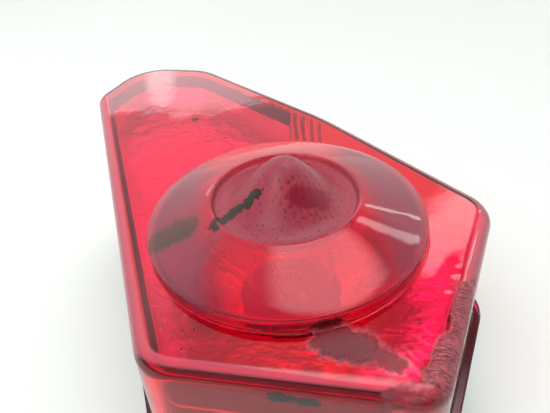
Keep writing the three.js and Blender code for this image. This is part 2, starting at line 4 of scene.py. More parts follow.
import bmesh
import bpy
import numpy as np
from mathutils import Matrix, Vector, noise


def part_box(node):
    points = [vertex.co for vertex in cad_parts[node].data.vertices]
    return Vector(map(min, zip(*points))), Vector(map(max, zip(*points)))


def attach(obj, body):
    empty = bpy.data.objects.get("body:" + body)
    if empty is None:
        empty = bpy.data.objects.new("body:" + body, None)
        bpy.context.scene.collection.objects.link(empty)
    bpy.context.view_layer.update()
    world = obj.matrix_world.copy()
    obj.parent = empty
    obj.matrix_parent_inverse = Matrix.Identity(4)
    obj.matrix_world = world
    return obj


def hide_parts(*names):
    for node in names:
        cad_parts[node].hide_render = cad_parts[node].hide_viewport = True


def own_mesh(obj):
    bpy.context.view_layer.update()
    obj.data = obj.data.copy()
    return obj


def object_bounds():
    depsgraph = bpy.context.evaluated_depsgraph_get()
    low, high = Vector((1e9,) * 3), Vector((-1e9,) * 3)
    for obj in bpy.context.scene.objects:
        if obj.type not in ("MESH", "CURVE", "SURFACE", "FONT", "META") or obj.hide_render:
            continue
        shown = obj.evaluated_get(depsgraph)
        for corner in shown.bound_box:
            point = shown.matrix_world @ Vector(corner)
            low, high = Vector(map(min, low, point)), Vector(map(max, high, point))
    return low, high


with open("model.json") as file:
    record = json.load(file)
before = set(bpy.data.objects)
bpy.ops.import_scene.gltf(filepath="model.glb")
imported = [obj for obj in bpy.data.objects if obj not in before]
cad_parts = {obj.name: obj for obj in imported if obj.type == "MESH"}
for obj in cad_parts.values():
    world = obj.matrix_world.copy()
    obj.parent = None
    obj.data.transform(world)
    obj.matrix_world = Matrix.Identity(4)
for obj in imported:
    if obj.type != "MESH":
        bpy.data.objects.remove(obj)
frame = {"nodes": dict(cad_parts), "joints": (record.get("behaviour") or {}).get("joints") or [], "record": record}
cad_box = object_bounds()

# ---------------------------------------------------------------------------------------------
# Driving dimensions, in millimetres about the bullseye's axis, with z = 0 on the lens's face
# ---------------------------------------------------------------------------------------------

MM = 0.001
APEX = 19.5
TWIST = next(joint for joint in frame["joints"] if joint["name"] == "socket_twist")
AXIS_X, AXIS_Y = TWIST["pos_m"][:2]
ORIGIN = Vector((AXIS_X, AXIS_Y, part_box("lens")[1].z - APEX * MM))
BODY_OF = {n: b for b, nodes in frame["record"]["behaviour"]["bodies"].items() for n in nodes}
BOXES = {node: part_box(node) for node in frame["nodes"]}


def low(node):
    """Lowest corner of a CAD node."""
    return (BOXES[node][0] - ORIGIN) / MM


def high(node):
    """Highest corner of a CAD node."""
    return (BOXES[node][1] - ORIGIN) / MM


def middle(node):
    """Middle of a CAD node's box."""
    return (low(node) + high(node)) / 2


def heights(node):
    """Lowest and highest z of a CAD node."""
    return low(node).z, high(node).z


# Outline of the lens's face, counter-clockwise from the lower left: corner x, y and corner radius
CORNERS = [
    (-23.2, -46.4, 11),
    (36.2, -46.4, 8),
    (53.1, 13.1, 11),
    (4.7, 58.5, 90),
    (-48.9, 97.5, 19),
    (-80.0, 98.9, 18),
    (-86.6, 69.6, 10),
]
ARC_STEPS = [12, 12, 12, 6, 12, 12, 12]
EDGE_STEPS = [58, 60, 44, 150, 18, 18, 66]
SMALLEST_RADIUS = 1

FACE_FILLET = 4
INNER_FILLET = 1.5
LENS_WALL = 2.5
LENS_DEPTH = 38
LENS_DRAFT = 1.3
FLANGE_GROW = 3.8
SLANT_EDGE = 3
RIBS = 13
RIB_START = -1.5
RIB_PITCH = 3.85
RIB_HEIGHT = 0.5
RIB_FOOT = -28.5
RIB_EXTRA = 0.45
PILLOW_PITCH = 2.3
PILLOW_HEIGHT = 0.16

BULLSEYE_R = 35
STEP_HEIGHT = 3.5
CONE_TOP_R = 18.7
CONE_TOP = 9.3
FLOOR_R = 16.2
FLOOR_HEIGHT = 7.5
RIM_ROUND = 0.7
FOOT_ROUND = 0.5
CONE_SLOPE = (CONE_TOP - STEP_HEIGHT) / (BULLSEYE_R - CONE_TOP_R)

LENS_BACK = low("lens").z
TRAY_TOP = high("housing").z
TRAY_BACK = low("socket_gasket").z + 2.0
TRAY_INSIDE = TRAY_BACK + 3

# ---------------------------------------------------------------------------------------------
# Shells: (points, faces) pairs in millimetres
# ---------------------------------------------------------------------------------------------


def outline(grow, every=1):
    """The lens's outline grown outward by `grow`, as points with rounded corners."""
    arcs = []
    for i, (x, y, corner_radius) in enumerate(CORNERS):
        before_x, before_y, _ = CORNERS[i - 1]
        after_x, after_y, _ = CORNERS[(i + 1) % len(CORNERS)]
        radius = max(corner_radius + grow, SMALLEST_RADIUS)
        start = math.atan2(y - before_y, x - before_x) - math.pi / 2
        end = math.atan2(after_y - y, after_x - x) - math.pi / 2
        turn = (end - start) % (2 * math.pi)
        reach = (grow - radius) / (1 + math.cos(turn))
        centre = np.array([
            x + reach * (math.cos(start) + math.cos(end)),
            y + reach * (math.sin(start) + math.sin(end)),
        ])
        angles = start + turn * np.linspace(0, 1, ARC_STEPS[i] + 1)
        arcs.append(centre + radius * np.column_stack([np.cos(angles), np.sin(angles)]))
    points = []
    for i, arc in enumerate(arcs):
        following = arcs[(i + 1) % len(arcs)][0]
        shares = np.linspace(0, 1, EDGE_STEPS[i] + 1)[1:-1, None]
        points.append(arc)
        points.append(arc[-1] * (1 - shares) + following * shares)
    return np.vstack(points)[::every]


BASE_OUTLINE = outline(0)
RING_ANGLES = np.arctan2(BASE_OUTLINE[:, 1], BASE_OUTLINE[:, 0])


def at_height(flat, height):
    """Flat points lifted to a height, or to one height each."""
    return np.column_stack([flat, np.broadcast_to(height, len(flat))])


def outline_ring(height, grow, every=1):
    return at_height(outline(grow, every), height)


def polar_ring(radius, height, every=1):
    """A circle about the axis, with its points at the same angles as the outline's."""
    angles = RING_ANGLES[::every]
    return at_height(radius * np.column_stack([np.cos(angles), np.sin(angles)]), height)


def circle(radius, height, steps=64):
    angles = 2 * np.pi * np.arange(steps) / steps
    return at_height(radius * np.column_stack([np.cos(angles), np.sin(angles)]), height)


def pole(height):
    return np.array([[0.0, 0.0, height]])


def skin(rings, closed=False):
    """The surface through rings of points. A ring of one point is a pole, and a closed one is a loop."""
    starts = np.cumsum([0] + [len(ring) for ring in rings])
    pairs = list(zip(range(len(rings) - 1), range(1, len(rings))))
    if closed:
        pairs.append((len(rings) - 1, 0))
    faces = []
    for a, b in pairs:
        count = max(len(rings[a]), len(rings[b]))
        for i in range(count):
            j = (i + 1) % count
            near = [starts[a] + i, starts[a] + j] if len(rings[a]) > 1 else [starts[a]]
            far = [starts[b] + j, starts[b] + i] if len(rings[b]) > 1 else [starts[b]]
            faces.append([int(k) for k in near + far])
    return np.vstack(rings), faces


def merged(shells):
    """Several shells as one."""
    points, faces, count = [], [], 0
    for shell_points, shell_faces in shells:
        points.append(shell_points)
        faces += [[k + count for k in face] for face in shell_faces]
        count += len(shell_points)
    return np.vstack(points), faces


def soften(profile, size, steps=3, closed=False):
    """A profile with each corner rounded, starting `size` before it."""
    points = [np.array(p, float) for p in profile]
    count = len(points)
    result = []
    for i, corner in enumerate(points):
        if not closed and i in (0, count - 1):
            result.append(tuple(corner))
            continue
        before, after = points[i - 1] - corner, points[(i + 1) % count] - corner
        reach = min(size, 0.45 * np.linalg.norm(before), 0.45 * np.linalg.norm(after))
        start = corner + before / np.linalg.norm(before) * reach
        end = corner + after / np.linalg.norm(after) * reach
        for t in np.linspace(0, 1, steps + 1):
            result.append(tuple((1 - t) ** 2 * start + 2 * t * (1 - t) * corner + t**2 * end))
    return result


def lathe(profile, steps=64, bevel=0.3, loop=False):
    """A shell turned about the Z axis from (radius, height) points, on the axis at both ends or a loop."""
    rounded = soften(profile, bevel, closed=loop) if bevel else profile
    return skin([circle(r, z, steps) if r > 1e-9 else pole(z) for r, z in rounded], loop)


def rod(radius, bottom, top, steps=32, bevel=0):
    """A solid cylinder on the axis."""
    return lathe([(0, bottom), (radius, bottom), (radius, top), (0, top)], steps, bevel)


def tube(path, radius, sides=10):
    """A round wire along points, with rounded ends."""
    path = np.array(path, float)
    along = np.gradient(path, axis=0)
    along /= np.linalg.norm(along, axis=1)[:, None]
    side = np.cross(along[0], [0.31, 0.87, 0.38])
    rings = [path[:1] - along[:1] * radius * 0.6]
    for point, direction in zip(path, along):
        side = side - direction * (side @ direction)
        side /= np.linalg.norm(side)
        up = np.cross(direction, side)
        turns = 2 * np.pi * np.arange(sides)[:, None] / sides
        rings.append(point + radius * (np.cos(turns) * side + np.sin(turns) * up))
    rings.append(path[-1:] + along[-1:] * radius * 0.6)
    return skin(rings)


def prism(flat, bottom, top, bevel=0.3):
    """An outline extruded between two heights, with softened rims. The outline is convex."""
    flat = np.array(flat, float)
    centre = flat.mean(axis=0)
    reach = np.linalg.norm(flat - centre, axis=1).max()
    rings = [at_height(centre[None], bottom)]
    rings += [at_height(centre + (flat - centre) * (1 - inset / reach), bottom + rise)
              for rise, inset in ((0, bevel), (bevel * 0.3, bevel * 0.3), (bevel, 0))]
    rings += [at_height(centre + (flat - centre) * (1 - inset / reach), top - rise)
              for rise, inset in ((bevel, 0), (bevel * 0.3, bevel * 0.3), (0, bevel))]
    rings.append(at_height(centre[None], top))
    return skin(rings)


def rounded_rectangle(width, depth, radius, steps=5):
    points = []
    for turn in range(4):
        sign_x, sign_y = (1, 1, -1, -1)[turn], (-1, 1, 1, -1)[turn]
        centre = np.array([sign_x * (width / 2 - radius), sign_y * (depth / 2 - radius)])
        angles = np.radians(90 * turn - 90) + np.linspace(0, np.pi / 2, steps + 1)
        points.append(centre + radius * np.column_stack([np.cos(angles), np.sin(angles)]))
    return np.vstack(points)


def sector(inner, outer, angle, half_angle, steps=10):
    """A closed outline: part of a ring, centred on an angle in degrees."""
    angles = np.radians(angle + half_angle * np.linspace(-1, 1, steps + 1))
    ring = np.column_stack([np.cos(angles), np.sin(angles)])
    return np.vstack([outer * ring, inner * ring[::-1]])


def moved(shell, x=0.0, y=0.0, z=0.0):
    return shell[0] + np.array([x, y, z]), shell[1]


def over(shell, node):
    """A shell moved from the axis to a CAD node's place on the floor plan."""
    return moved(shell, middle(node).x, middle(node).y)


def turned(shell, degrees, axis="Z"):
    matrix = np.array(Matrix.Rotation(math.radians(degrees), 3, axis))
    return shell[0] @ matrix.T, shell[1]


def tidy_mesh(mesh):
    """Faces point outwards, and points that coincide become one."""
    work = bmesh.new()
    work.from_mesh(mesh)
    bmesh.ops.remove_doubles(work, verts=work.verts, dist=1e-7)
    bmesh.ops.recalc_face_normals(work, faces=work.faces)
    work.to_mesh(mesh)
    work.free()


def shell_object(name, shell, scale=1.0, offset=(0, 0, 0)):
    mesh = bpy.data.meshes.new(name)
    points = shell[0] * scale + np.array(offset)
    mesh.from_pydata(points.tolist(), [], shell[1])
    tidy_mesh(mesh)
    made = bpy.data.objects.new(name, mesh)
    bpy.context.scene.collection.objects.link(made)
    return made


def carved(base, operation, tools):
    """A shell joined with, or cut by, other shells one after another. operation is UNION or DIFFERENCE."""
    target = shell_object("carved_base", base)
    used = [target]
    for shell in tools:
        tool = shell_object("carved_tool", shell)
        used.append(tool)
        modifier = target.modifiers.new("carve", "BOOLEAN")
        modifier.operation = operation
        modifier.solver = "MANIFOLD"
        modifier.object = tool
    graph = bpy.context.evaluated_depsgraph_get()
    mesh = bpy.data.meshes.new_from_object(target.evaluated_get(graph))
    points = np.zeros(len(mesh.vertices) * 3)
    mesh.vertices.foreach_get("co", points)
    faces = [list(face.vertices) for face in mesh.polygons]
    bpy.data.meshes.remove(mesh)
    for item in used:
        bpy.data.meshes.remove(item.data)
    return points.reshape(-1, 3), faces


def piece(node, shell, materials, sharp=38, chooser=None):
    """Makes a shell the finished piece that stands for a CAD node. chooser gives a face's material."""
    made = shell_object(f"{node}_fine", shell, MM, ORIGIN)
    for material in materials:
        made.data.materials.append(material)
    if chooser:
        for face in made.data.polygons:
            spot = (face.center - ORIGIN) / MM
            face.material_index = chooser(spot, face.normal)
    made.data.shade_smooth()
    made.data.set_sharp_from_angle(angle=math.radians(sharp))
    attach(made, BODY_OF[node])
    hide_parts(node)
    return made


# ---------------------------------------------------------------------------------------------
# Lens
# ---------------------------------------------------------------------------------------------


def bell(r):
    """Height of the bell-shaped point at a distance r from the axis."""
    return FLOOR_HEIGHT + (APEX - FLOOR_HEIGHT) * np.cos(np.pi / 2 * r / FLOOR_R) ** 2


def arc_points(centre_r, centre_z, radius, start, end, steps):
    """Points (r, z) of an arc, with its angles in degrees from +r towards +z."""
    angles = np.radians(np.linspace(start, end, steps + 1))
    return [(centre_r + radius * math.cos(a), centre_z + radius * math.sin(a)) for a in angles]


def bullseye_rings():
    """Outer surface of the bullseye, from its point out to the flat face."""
    rings = [pole(APEX)]
    for r in np.linspace(0.4, FLOOR_R, 28):
        rings.append(polar_ring(r, bell(r)))
    moat = [(FLOOR_R, FLOOR_HEIGHT), (CONE_TOP_R - 1.2, FLOOR_HEIGHT + 0.1),
            (CONE_TOP_R - 0.4, CONE_TOP + 0.05), (CONE_TOP_R + 0.9, CONE_TOP - 0.9 * CONE_SLOPE)]
    rings += [polar_ring(r, z) for r, z in soften(moat, 0.55, 4)[1:]]
    for r in np.linspace(CONE_TOP_R + 2, BULLSEYE_R - 1.6, 9):
        crown = 0.06 * math.sin(math.pi * (r - CONE_TOP_R) / (BULLSEYE_R - CONE_TOP_R))
        rings.append(polar_ring(r, CONE_TOP - (r - CONE_TOP_R) * CONE_SLOPE + crown))
    rim = arc_points(BULLSEYE_R - RIM_ROUND, STEP_HEIGHT - RIM_ROUND, RIM_ROUND, 72, 0, 5)
    foot = arc_points(BULLSEYE_R + FOOT_ROUND, FOOT_ROUND, FOOT_ROUND, 180, 270, 4)
    rings += [polar_ring(r, z) for r, z in rim + [(BULLSEYE_R, 1.6)] + foot]
    return rings


def chipped(ring):
    """A scraped and cracked strip along the right-hand edge, wider at the lower corner."""
    worn = ring.copy()
    for i, (x, y, z) in enumerate(ring):
        across = (x - 45.0) * 0.962 - (y - 1) * 0.273
        reach = 1.2 + max(0, -8 - y) * 0.13
        inside = min(1, max(0, (across + 1.5 + reach) / 1.5)) * min(1, max(0, (1.5 - across) / 2))
        if inside > 0 and y < -6 and z > -8:
            grain = noise.fractal(Vector((x * 0.25, y * 0.9, z * 0.25)), 1.0, 2.2, 4)
            bite = (0.16 + 0.22 * max(0.0, grain)) * inside * min(1, (-6 - y) / 8)
            worn[i] -= bite * np.array([0.6, -0.15, 0.78])
    return worn


def face_and_wall_rings():
    """Outer surface from the flat face, over its round edge, down the walls and round the flange."""
    start, end = polar_ring(BULLSEYE_R + FOOT_ROUND + 0.3, 0), outline_ring(0, -FACE_FILLET - 0.4)
    rings = [start * (1 - t) + end * t for t in (0, 0.12, 0.25, 0.4, 0.55, 0.7, 0.83, 0.93, 1)]
    for angle in np.radians(np.linspace(90, 0, 13)):
        drop = FACE_FILLET * (1 - math.sin(angle))
        rings.append(outline_ring(-drop, -FACE_FILLET * (1 - math.cos(angle))))
    flange_top = -LENS_DEPTH
    for z in np.linspace(-FACE_FILLET - 1, flange_top + 1.2, 12):
        rings.append(outline_ring(z, LENS_DRAFT * (-z - FACE_FILLET) / (LENS_DEPTH - FACE_FILLET)))
    turn = [(LENS_DRAFT - 0.05, flange_top + 1), (LENS_DRAFT, flange_top), (FLANGE_GROW, flange_top),
            (FLANGE_GROW, LENS_BACK), (LENS_DRAFT - LENS_WALL, LENS_BACK)]
    rings += [outline_ring(z, grow) for grow, z in soften(turn, 0.55, 4)]
    return [chipped(ring) for ring in rings]


def slant_frame():
    """Corner, direction and inward normal of the long slanting wall."""
    corner = np.array(CORNERS[SLANT_EDGE][:2], float)
    along = np.array(CORNERS[SLANT_EDGE + 1][:2]) - corner
    along /= np.linalg.norm(along)
    return corner, along, np.array([-along[1], along[0]])


def ribbed(ring, height):
    """Pushes a ring of the inner wall inwards where the upright ribs of the slanting wall are."""
    corner, along, inward = slant_frame()
    fade = min(1.0, max(0.0, (height - RIB_FOOT) / 2)) * min(1.0, max(0.0, (-3.8 - height) / 1.5))
    above_deck = min(1.0, max(0.0, (height - DECK_Z - 1) / 1.5))
    flat = ring[:, :2] - corner
    distance, depth = flat @ along, flat @ inward
    phase = (distance - RIB_START) / RIB_PITCH + 0.5
    on_wall = (depth < LENS_WALL + 1) & (phase > 0) & (phase < RIBS) & (distance < 60)
    rise = fade * (RIB_HEIGHT + RIB_EXTRA * above_deck * (distance < RIM_SLANT_END))
    crown = np.sqrt(np.clip(1 - (2 * (phase % 1) - 1) ** 2 * 1.9, 0, 1))
    pushed = ring.copy()
    pushed[:, :2] += inward * (on_wall * crown * rise)[:, None]
    return pushed


def pillowed(ring, share):
    """Small pillow optics on the inside of the bell."""
    turns = 2 * math.pi / PILLOW_PITCH
    wave = np.cos(ring[:, 0] * turns) * np.cos(ring[:, 1] * turns)
    lifted = ring.copy()
    lifted[:, 2] += PILLOW_HEIGHT * share * wave
    return lifted


def inner_rings():
    """Inner surface: up the walls, across under the face, and up under the bullseye."""
    rings = []
    inner_top = -LENS_WALL
    for z in np.linspace(LENS_BACK + 0.6, inner_top - INNER_FILLET - 0.3, 18):
        share = (-z - FACE_FILLET) / (LENS_DEPTH - FACE_FILLET)
        rings.append(ribbed(outline_ring(z, LENS_DRAFT * share - LENS_WALL), z))
    for angle in np.radians(np.linspace(0, 90, 7)):
        grow = -LENS_WALL - INNER_FILLET * (1 - math.cos(angle))
        z = inner_top - INNER_FILLET * (1 - math.sin(angle))
        rings.append(ribbed(outline_ring(z, grow), z))
    inner_r = BULLSEYE_R - LENS_WALL
    start = outline_ring(inner_top, -LENS_WALL - INNER_FILLET - 0.6)
    end = polar_ring(inner_r + 0.7, inner_top)
    rings += [start * (1 - t) + end * t for t in (0, 0.3, 0.6, 1)]
    step = [(inner_r + 0.7, inner_top), (inner_r, inner_top), (inner_r, STEP_HEIGHT - LENS_WALL),
            (CONE_TOP_R - LENS_WALL / 2, CONE_TOP - LENS_WALL), (FLOOR_R, FLOOR_HEIGHT - LENS_WALL)]
    rings += [polar_ring(r, z) for r, z in soften(step, 0.45, 4)[1:]]
    for r in np.linspace(FLOOR_R - 0.3, 0.4, 38):
        share = min(1.0, (FLOOR_R - r) / 3)
        rings.append(pillowed(polar_ring(r, bell(r) - LENS_WALL), share))
    rings.append(pole(APEX - LENS_WALL))
    return rings


def lens_shell():
    return skin(bullseye_rings() + face_and_wall_rings() + inner_rings())


def seal_shell():
    bottom, top = heights("lens_seal")
    section = soften([(0.2, bottom), (3.0, bottom), (3.0, top), (0.2, top)], 0.4, 4, closed=True)
    return skin([outline_ring(z, grow, 2) for grow, z in section], closed=True)


# ---------------------------------------------------------------------------------------------
# Housing
# ---------------------------------------------------------------------------------------------

TRAY_FLANGE = 3
TRAY_MOUTH = -5
TRAY_FLOOR = -7.5
TRAY_WALL = 3
PORT_R = 15
TAB_ANGLES = (30, 150, 270)
TAB_R = 18
TAB_HALF_ANGLE = 14
NOTCH_HALF_ANGLE = 17
UNLOCK_ANGLE = -35
COLLAR_R = 22.6
BOSS_R = 8
INSERT_LENGTH = 12
INSERT_HOLE_R = 5.5
SCREW_HOLE_R = 1.8
VENT_R = 3
VENT_BORE_R = 1.6
SCREW_NODES = [f"reflector_screw_{k + 1}" for k in range(3)]
INSERT_NODES = [f"mount_insert_{k + 1}" for k in range(3)]


def tray_shell():
    """The tray with its flange, as one closed pan."""
    foot = TRAY_FLOOR + TRAY_WALL
    section = [
        (foot - 6, TRAY_BACK), (foot, TRAY_BACK), (TRAY_MOUTH + TRAY_WALL, TRAY_TOP - TRAY_FLANGE),
        (FLANGE_GROW, TRAY_TOP - TRAY_FLANGE), (FLANGE_GROW, TRAY_TOP), (TRAY_MOUTH, TRAY_TOP),
        (TRAY_FLOOR, TRAY_INSIDE), (TRAY_FLOOR - 6, TRAY_INSIDE),
    ]
    rings = [pole(TRAY_BACK)]
    rings += [outline_ring(z, grow, 2) for grow, z in soften(section, 0.9, 4)]
    rings.append(pole(TRAY_INSIDE))
    return skin(rings)


def gusset_shell():
    """One upright web between a boss and the tray's back."""
    reach, drop, thick = BOSS_R + 4.2, 14.0, 1.0
    side = [(1, 1), (reach, 1), (reach, -0.6), (BOSS_R - 0.6, -drop), (1, -drop)]
    web = prism(side, -thick, thick, 0.35)
    return moved(turned(web, 90, "X"), 0, 0, TRAY_BACK)


def boss_shells():
    foot = low("housing").z
    shells = []
    for node in INSERT_NODES:
        shells.append(over(rod(BOSS_R, foot, TRAY_INSIDE - 1, 72, 0.6), node))
        shells += [over(turned(gusset_shell(), 45 + 90 * k), node) for k in range(4)]
    return shells


def port_cutters():
    bottom, top = TRAY_BACK - 1, TRAY_INSIDE + 1
    cutters = [rod(PORT_R, bottom, top, 96)]
    for angle in TAB_ANGLES:
        notch = sector(PORT_R - 2, TAB_R + 0.6, angle + UNLOCK_ANGLE, NOTCH_HALF_ANGLE)
        cutters.append(prism(notch, bottom, top, 0.05))
    return cutters


def housing_shell():
    foot = low("housing").z
    collar_foot = TRAY_BACK - 3
    collar = [(COLLAR_R, collar_foot), (COLLAR_R + 1.8, collar_foot), (COLLAR_R + 1.8, TRAY_BACK + 1),
              (COLLAR_R, TRAY_BACK + 1)]
    added = boss_shells() + [
        lathe(collar, 96, 0.4, loop=True),
        over(rod(VENT_R, TRAY_BACK - 4, TRAY_INSIDE - 1, 32, 0.3), "vent_cap"),
    ]
    cutters = port_cutters()
    for node in INSERT_NODES:
        cutters.append(over(rod(INSERT_HOLE_R, foot - 1, foot + INSERT_LENGTH + 4, 64), node))
    for node in SCREW_NODES:
        cutters.append(over(rod(SCREW_HOLE_R, TRAY_BACK - 1, TRAY_INSIDE + 1), node))
    cutters.append(over(rod(VENT_BORE_R, TRAY_BACK - 5, TRAY_INSIDE + 1), "vent_cap"))
    return carved(carved(tray_shell(), "UNION", added), "DIFFERENCE", cutters)


def insert_shell(node):
    """Knurled brass insert. Rings in its bore stand for the thread."""
    bottom, top = heights(node)
    waist = (bottom + top) / 2
    outer, bore, steps = 5.2, 3.4, 96
    teeth = 1 - 0.045 * (0.5 + 0.5 * np.cos(24 * 2 * np.pi * np.arange(steps) / steps))
    rings = []
    for r, z in soften([(outer, bottom), (outer, waist - 1), (outer - 0.6, waist - 1),
                        (outer - 0.6, waist + 1), (outer, waist + 1), (outer, top)], 0.15):
        ring = circle(r, z, steps)
        if bottom + 0.4 < z < top - 0.4:
            ring[:, :2] *= teeth[:, None]
        rings.append(ring)
    for z in np.arange(top, bottom + 0.4, -0.31):
        depth = 0.28 * (round((top - z) / 0.31) % 4 in (1, 2))
        rings.append(circle(bore + depth, z, steps))
    rings.append(circle(bore + 0.35, bottom, steps))
    return over(skin(rings, closed=True), node)


def vent_cap_shell():
    bottom, top = heights("vent_cap")
    inner = VENT_R + 0.3
    profile = [(0, bottom), (3.6, bottom), (5, bottom + 1.5), (4.6, bottom + 2.2), (5, bottom + 2.9),
               (4.6, bottom + 3.6), (5, top), (inner, top), (inner, bottom + 2.2), (0, bottom + 2.2)]
    return over(lathe(profile, 48, 0.35), "vent_cap")


# ---------------------------------------------------------------------------------------------
# Reflector and its screws
# ---------------------------------------------------------------------------------------------

RIM_TOP = high("reflector").z
RIM_HEIGHT = 10
DECK_Z = RIM_TOP - RIM_HEIGHT
DECK_THICK = 1.6
DECK_GROW = -3.4
DECK_ROUND = 2
FOCUS_Z = -17
FOCAL_LENGTH = 14
BOWL_HOLE_R = 14.8
BOWL_MOUTH_R = 26
SCREW_R = 1.2
SCREW_HEAD_R = 3.2
POST_R = 3.2
DIMPLE = (-49.6, 75.0)
DIMPLE_R = 1.5
SCREW_HOLE_DEPTH = 15
RIM_THICK = 1.2
RIM_COATED_TOP = -9
RIM_SLANT_END = 26
RIM_LOWER_END = 28


def bowl_height(r):
    return FOCUS_Z - FOCAL_LENGTH + r * r / (4 * FOCAL_LENGTH)


def deck_rings(skin_depth):
    """Rings across the deck and down the bowl, on its front, or on its back with a skin depth."""
    mouth = BOWL_MOUTH_R + skin_depth
    top = DECK_Z - skin_depth
    edge = outline_ring(top, DECK_GROW - DECK_ROUND - 0.5, 2)
    lip = polar_ring(mouth + 1, top, 2)
    rings = [edge * (1 - t) + lip * t for t in (0, 0.25, 0.5, 0.75, 0.95, 1)]
    rings += [polar_ring(mouth + 0.3, top - 0.2, 2), polar_ring(mouth, top - 0.9, 2)]
    for r in np.linspace(BOWL_MOUTH_R, BOWL_HOLE_R, 16):
        rings.append(polar_ring(r + skin_depth, bowl_height(r) - skin_depth, 2))
    return rings


def reflector_shell():
    foot = low("reflector").z
    skirt_foot = max(foot, TRAY_TOP + 0.3)
    rings = [outline_ring(skirt_foot, DECK_GROW, 2), outline_ring(-30, DECK_GROW, 2)]
    for angle in np.radians(np.linspace(0, 90, 7)):
        grow = DECK_GROW - DECK_ROUND * (1 - math.cos(angle))
        rings.append(outline_ring(DECK_Z - DECK_ROUND * (1 - math.sin(angle)), grow, 2))
    rings += deck_rings(0)
    rings.append(polar_ring(BOWL_HOLE_R, bowl_height(BOWL_HOLE_R) - DECK_THICK, 2))
    rings += deck_rings(DECK_THICK)[::-1]
    inner = DECK_GROW - DECK_THICK
    rings += [outline_ring(DECK_Z - DECK_THICK - 1, inner, 2), outline_ring(skirt_foot, inner, 2)]
    shell = skin(rings, closed=True)
    top = DECK_Z - DECK_THICK + 0.3
    posts = []
    drills = [moved(rod(DIMPLE_R, DECK_Z - 3, DECK_Z + 1), *DIMPLE)]
    for node in SCREW_NODES:
        posts.append(over(rod(POST_R, TRAY_INSIDE + 1, top, 36, 0.3), node))
        drills.append(over(rod(SCREW_R + 0.3, TRAY_INSIDE, TRAY_INSIDE + SCREW_HOLE_DEPTH, 24), node))
    return carved(carved(shell, "UNION", posts + [rim_shell()]), "DIFFERENCE", drills)


def rim_shell():
    """Upstanding rim on the deck along the lower, left and far sides, and part of the slanting one."""
    outer, inner = outline(DECK_GROW, 2), outline(DECK_GROW - RIM_THICK, 2)
    corner, along, _ = slant_frame()
    far_side = (outer - corner) @ along > RIM_SLANT_END
    left_side = (outer[:, 0] < (outer[:, 1] - outer[:, 1].max()) / 4)
    lower_side = (outer[:, 1] < outer[:, 1].min() + 2) & (outer[:, 0] < RIM_LOWER_END)
    kept = np.flatnonzero(far_side | left_side | lower_side)
    gap = int(np.argmax(np.diff(kept))) + 1
    kept = np.concatenate([kept[gap:], kept[:gap]])
    foot, rounding = DECK_Z - 1, 0.35
    sections = []
    for a, b in zip(outer[kept], inner[kept]):
        inset = (b - a) * rounding / RIM_THICK
        corners = [(a, foot), (a, RIM_TOP - rounding), (a + inset, RIM_TOP), (b - inset, RIM_TOP),
                   (b, RIM_TOP - rounding), (b, RIM_COATED_TOP), (b, foot)]
        sections.append(np.array([[*flat, z] for flat, z in corners]))
    start, end = sections[0].mean(axis=0)[None], sections[-1].mean(axis=0)[None]
    return skin([start] + sections + [end])


def is_coated(spot, normal):
    """0 for the metallised front of the reflector, 1 for its bare skirt, back and upper rim."""
    on_deck = normal.z > 0.05 and bowl_height(BOWL_HOLE_R) - 0.4 < spot.z < DECK_Z + 0.2
    to_axis = normal.x * spot.x + normal.y * spot.y < 0
    in_mouth = to_axis and spot.to_2d().length < BOWL_MOUTH_R + 1 and spot.z < DECK_Z
    faces_in = normal.x * (spot.x + 20) + normal.y * (spot.y - 25) < 0
    on_rim = faces_in and DECK_Z < spot.z < RIM_COATED_TOP
    return 0 if on_deck or on_rim or in_mouth else 1


def screw_shell(node):
    """Pan-head screw, head downwards, with a cross recess. Rings stand for its thread."""
    foot, tip = heights(node)
    seat = foot + 2
    profile = soften([(0, foot), (SCREW_HEAD_R * 0.62, foot + 0.05), (SCREW_HEAD_R, foot + 0.9),
                      (SCREW_HEAD_R, seat), (SCREW_R * 0.8, seat)], 0.25)
    crests = np.arange(seat + 0.6, tip - 2, 0.45)
    for k, z in enumerate(crests):
        profile.append((SCREW_R if k % 2 else SCREW_R * 0.78, z))
    profile += [(0.3, tip - 0.2), (0, tip)]
    slot = prism(rounded_rectangle(3.4, 0.8, 0.15), foot - 1, foot + 1.1, 0.1)
    shell = carved(lathe(profile, 40, 0), "DIFFERENCE", [slot, turned(slot, 90)])
    return over(turned(shell, 27), node)


# ---------------------------------------------------------------------------------------------
# Bulb holder
# ---------------------------------------------------------------------------------------------

BARREL_R = 14.6
BARREL_TOP = -46
BORE_R = 9.2
HOLDER_FLANGE_R = 21
HOLDER_FLOOR = -69.7
INLET_WIDTH = 23
INLET_HEIGHT = 11
INLET_WALL = 1.6
INLET_CAVITY = 10.5
TERMINAL_NODES = [f"terminal_{k + 1}" for k in range(3)]
STUD_NODES = ("contact_stud_tail", "contact_stud_brake")
BASE_R = 7.5
PIN_R = 1
PUSH = 2.5
ENTRY_ANGLE = 25


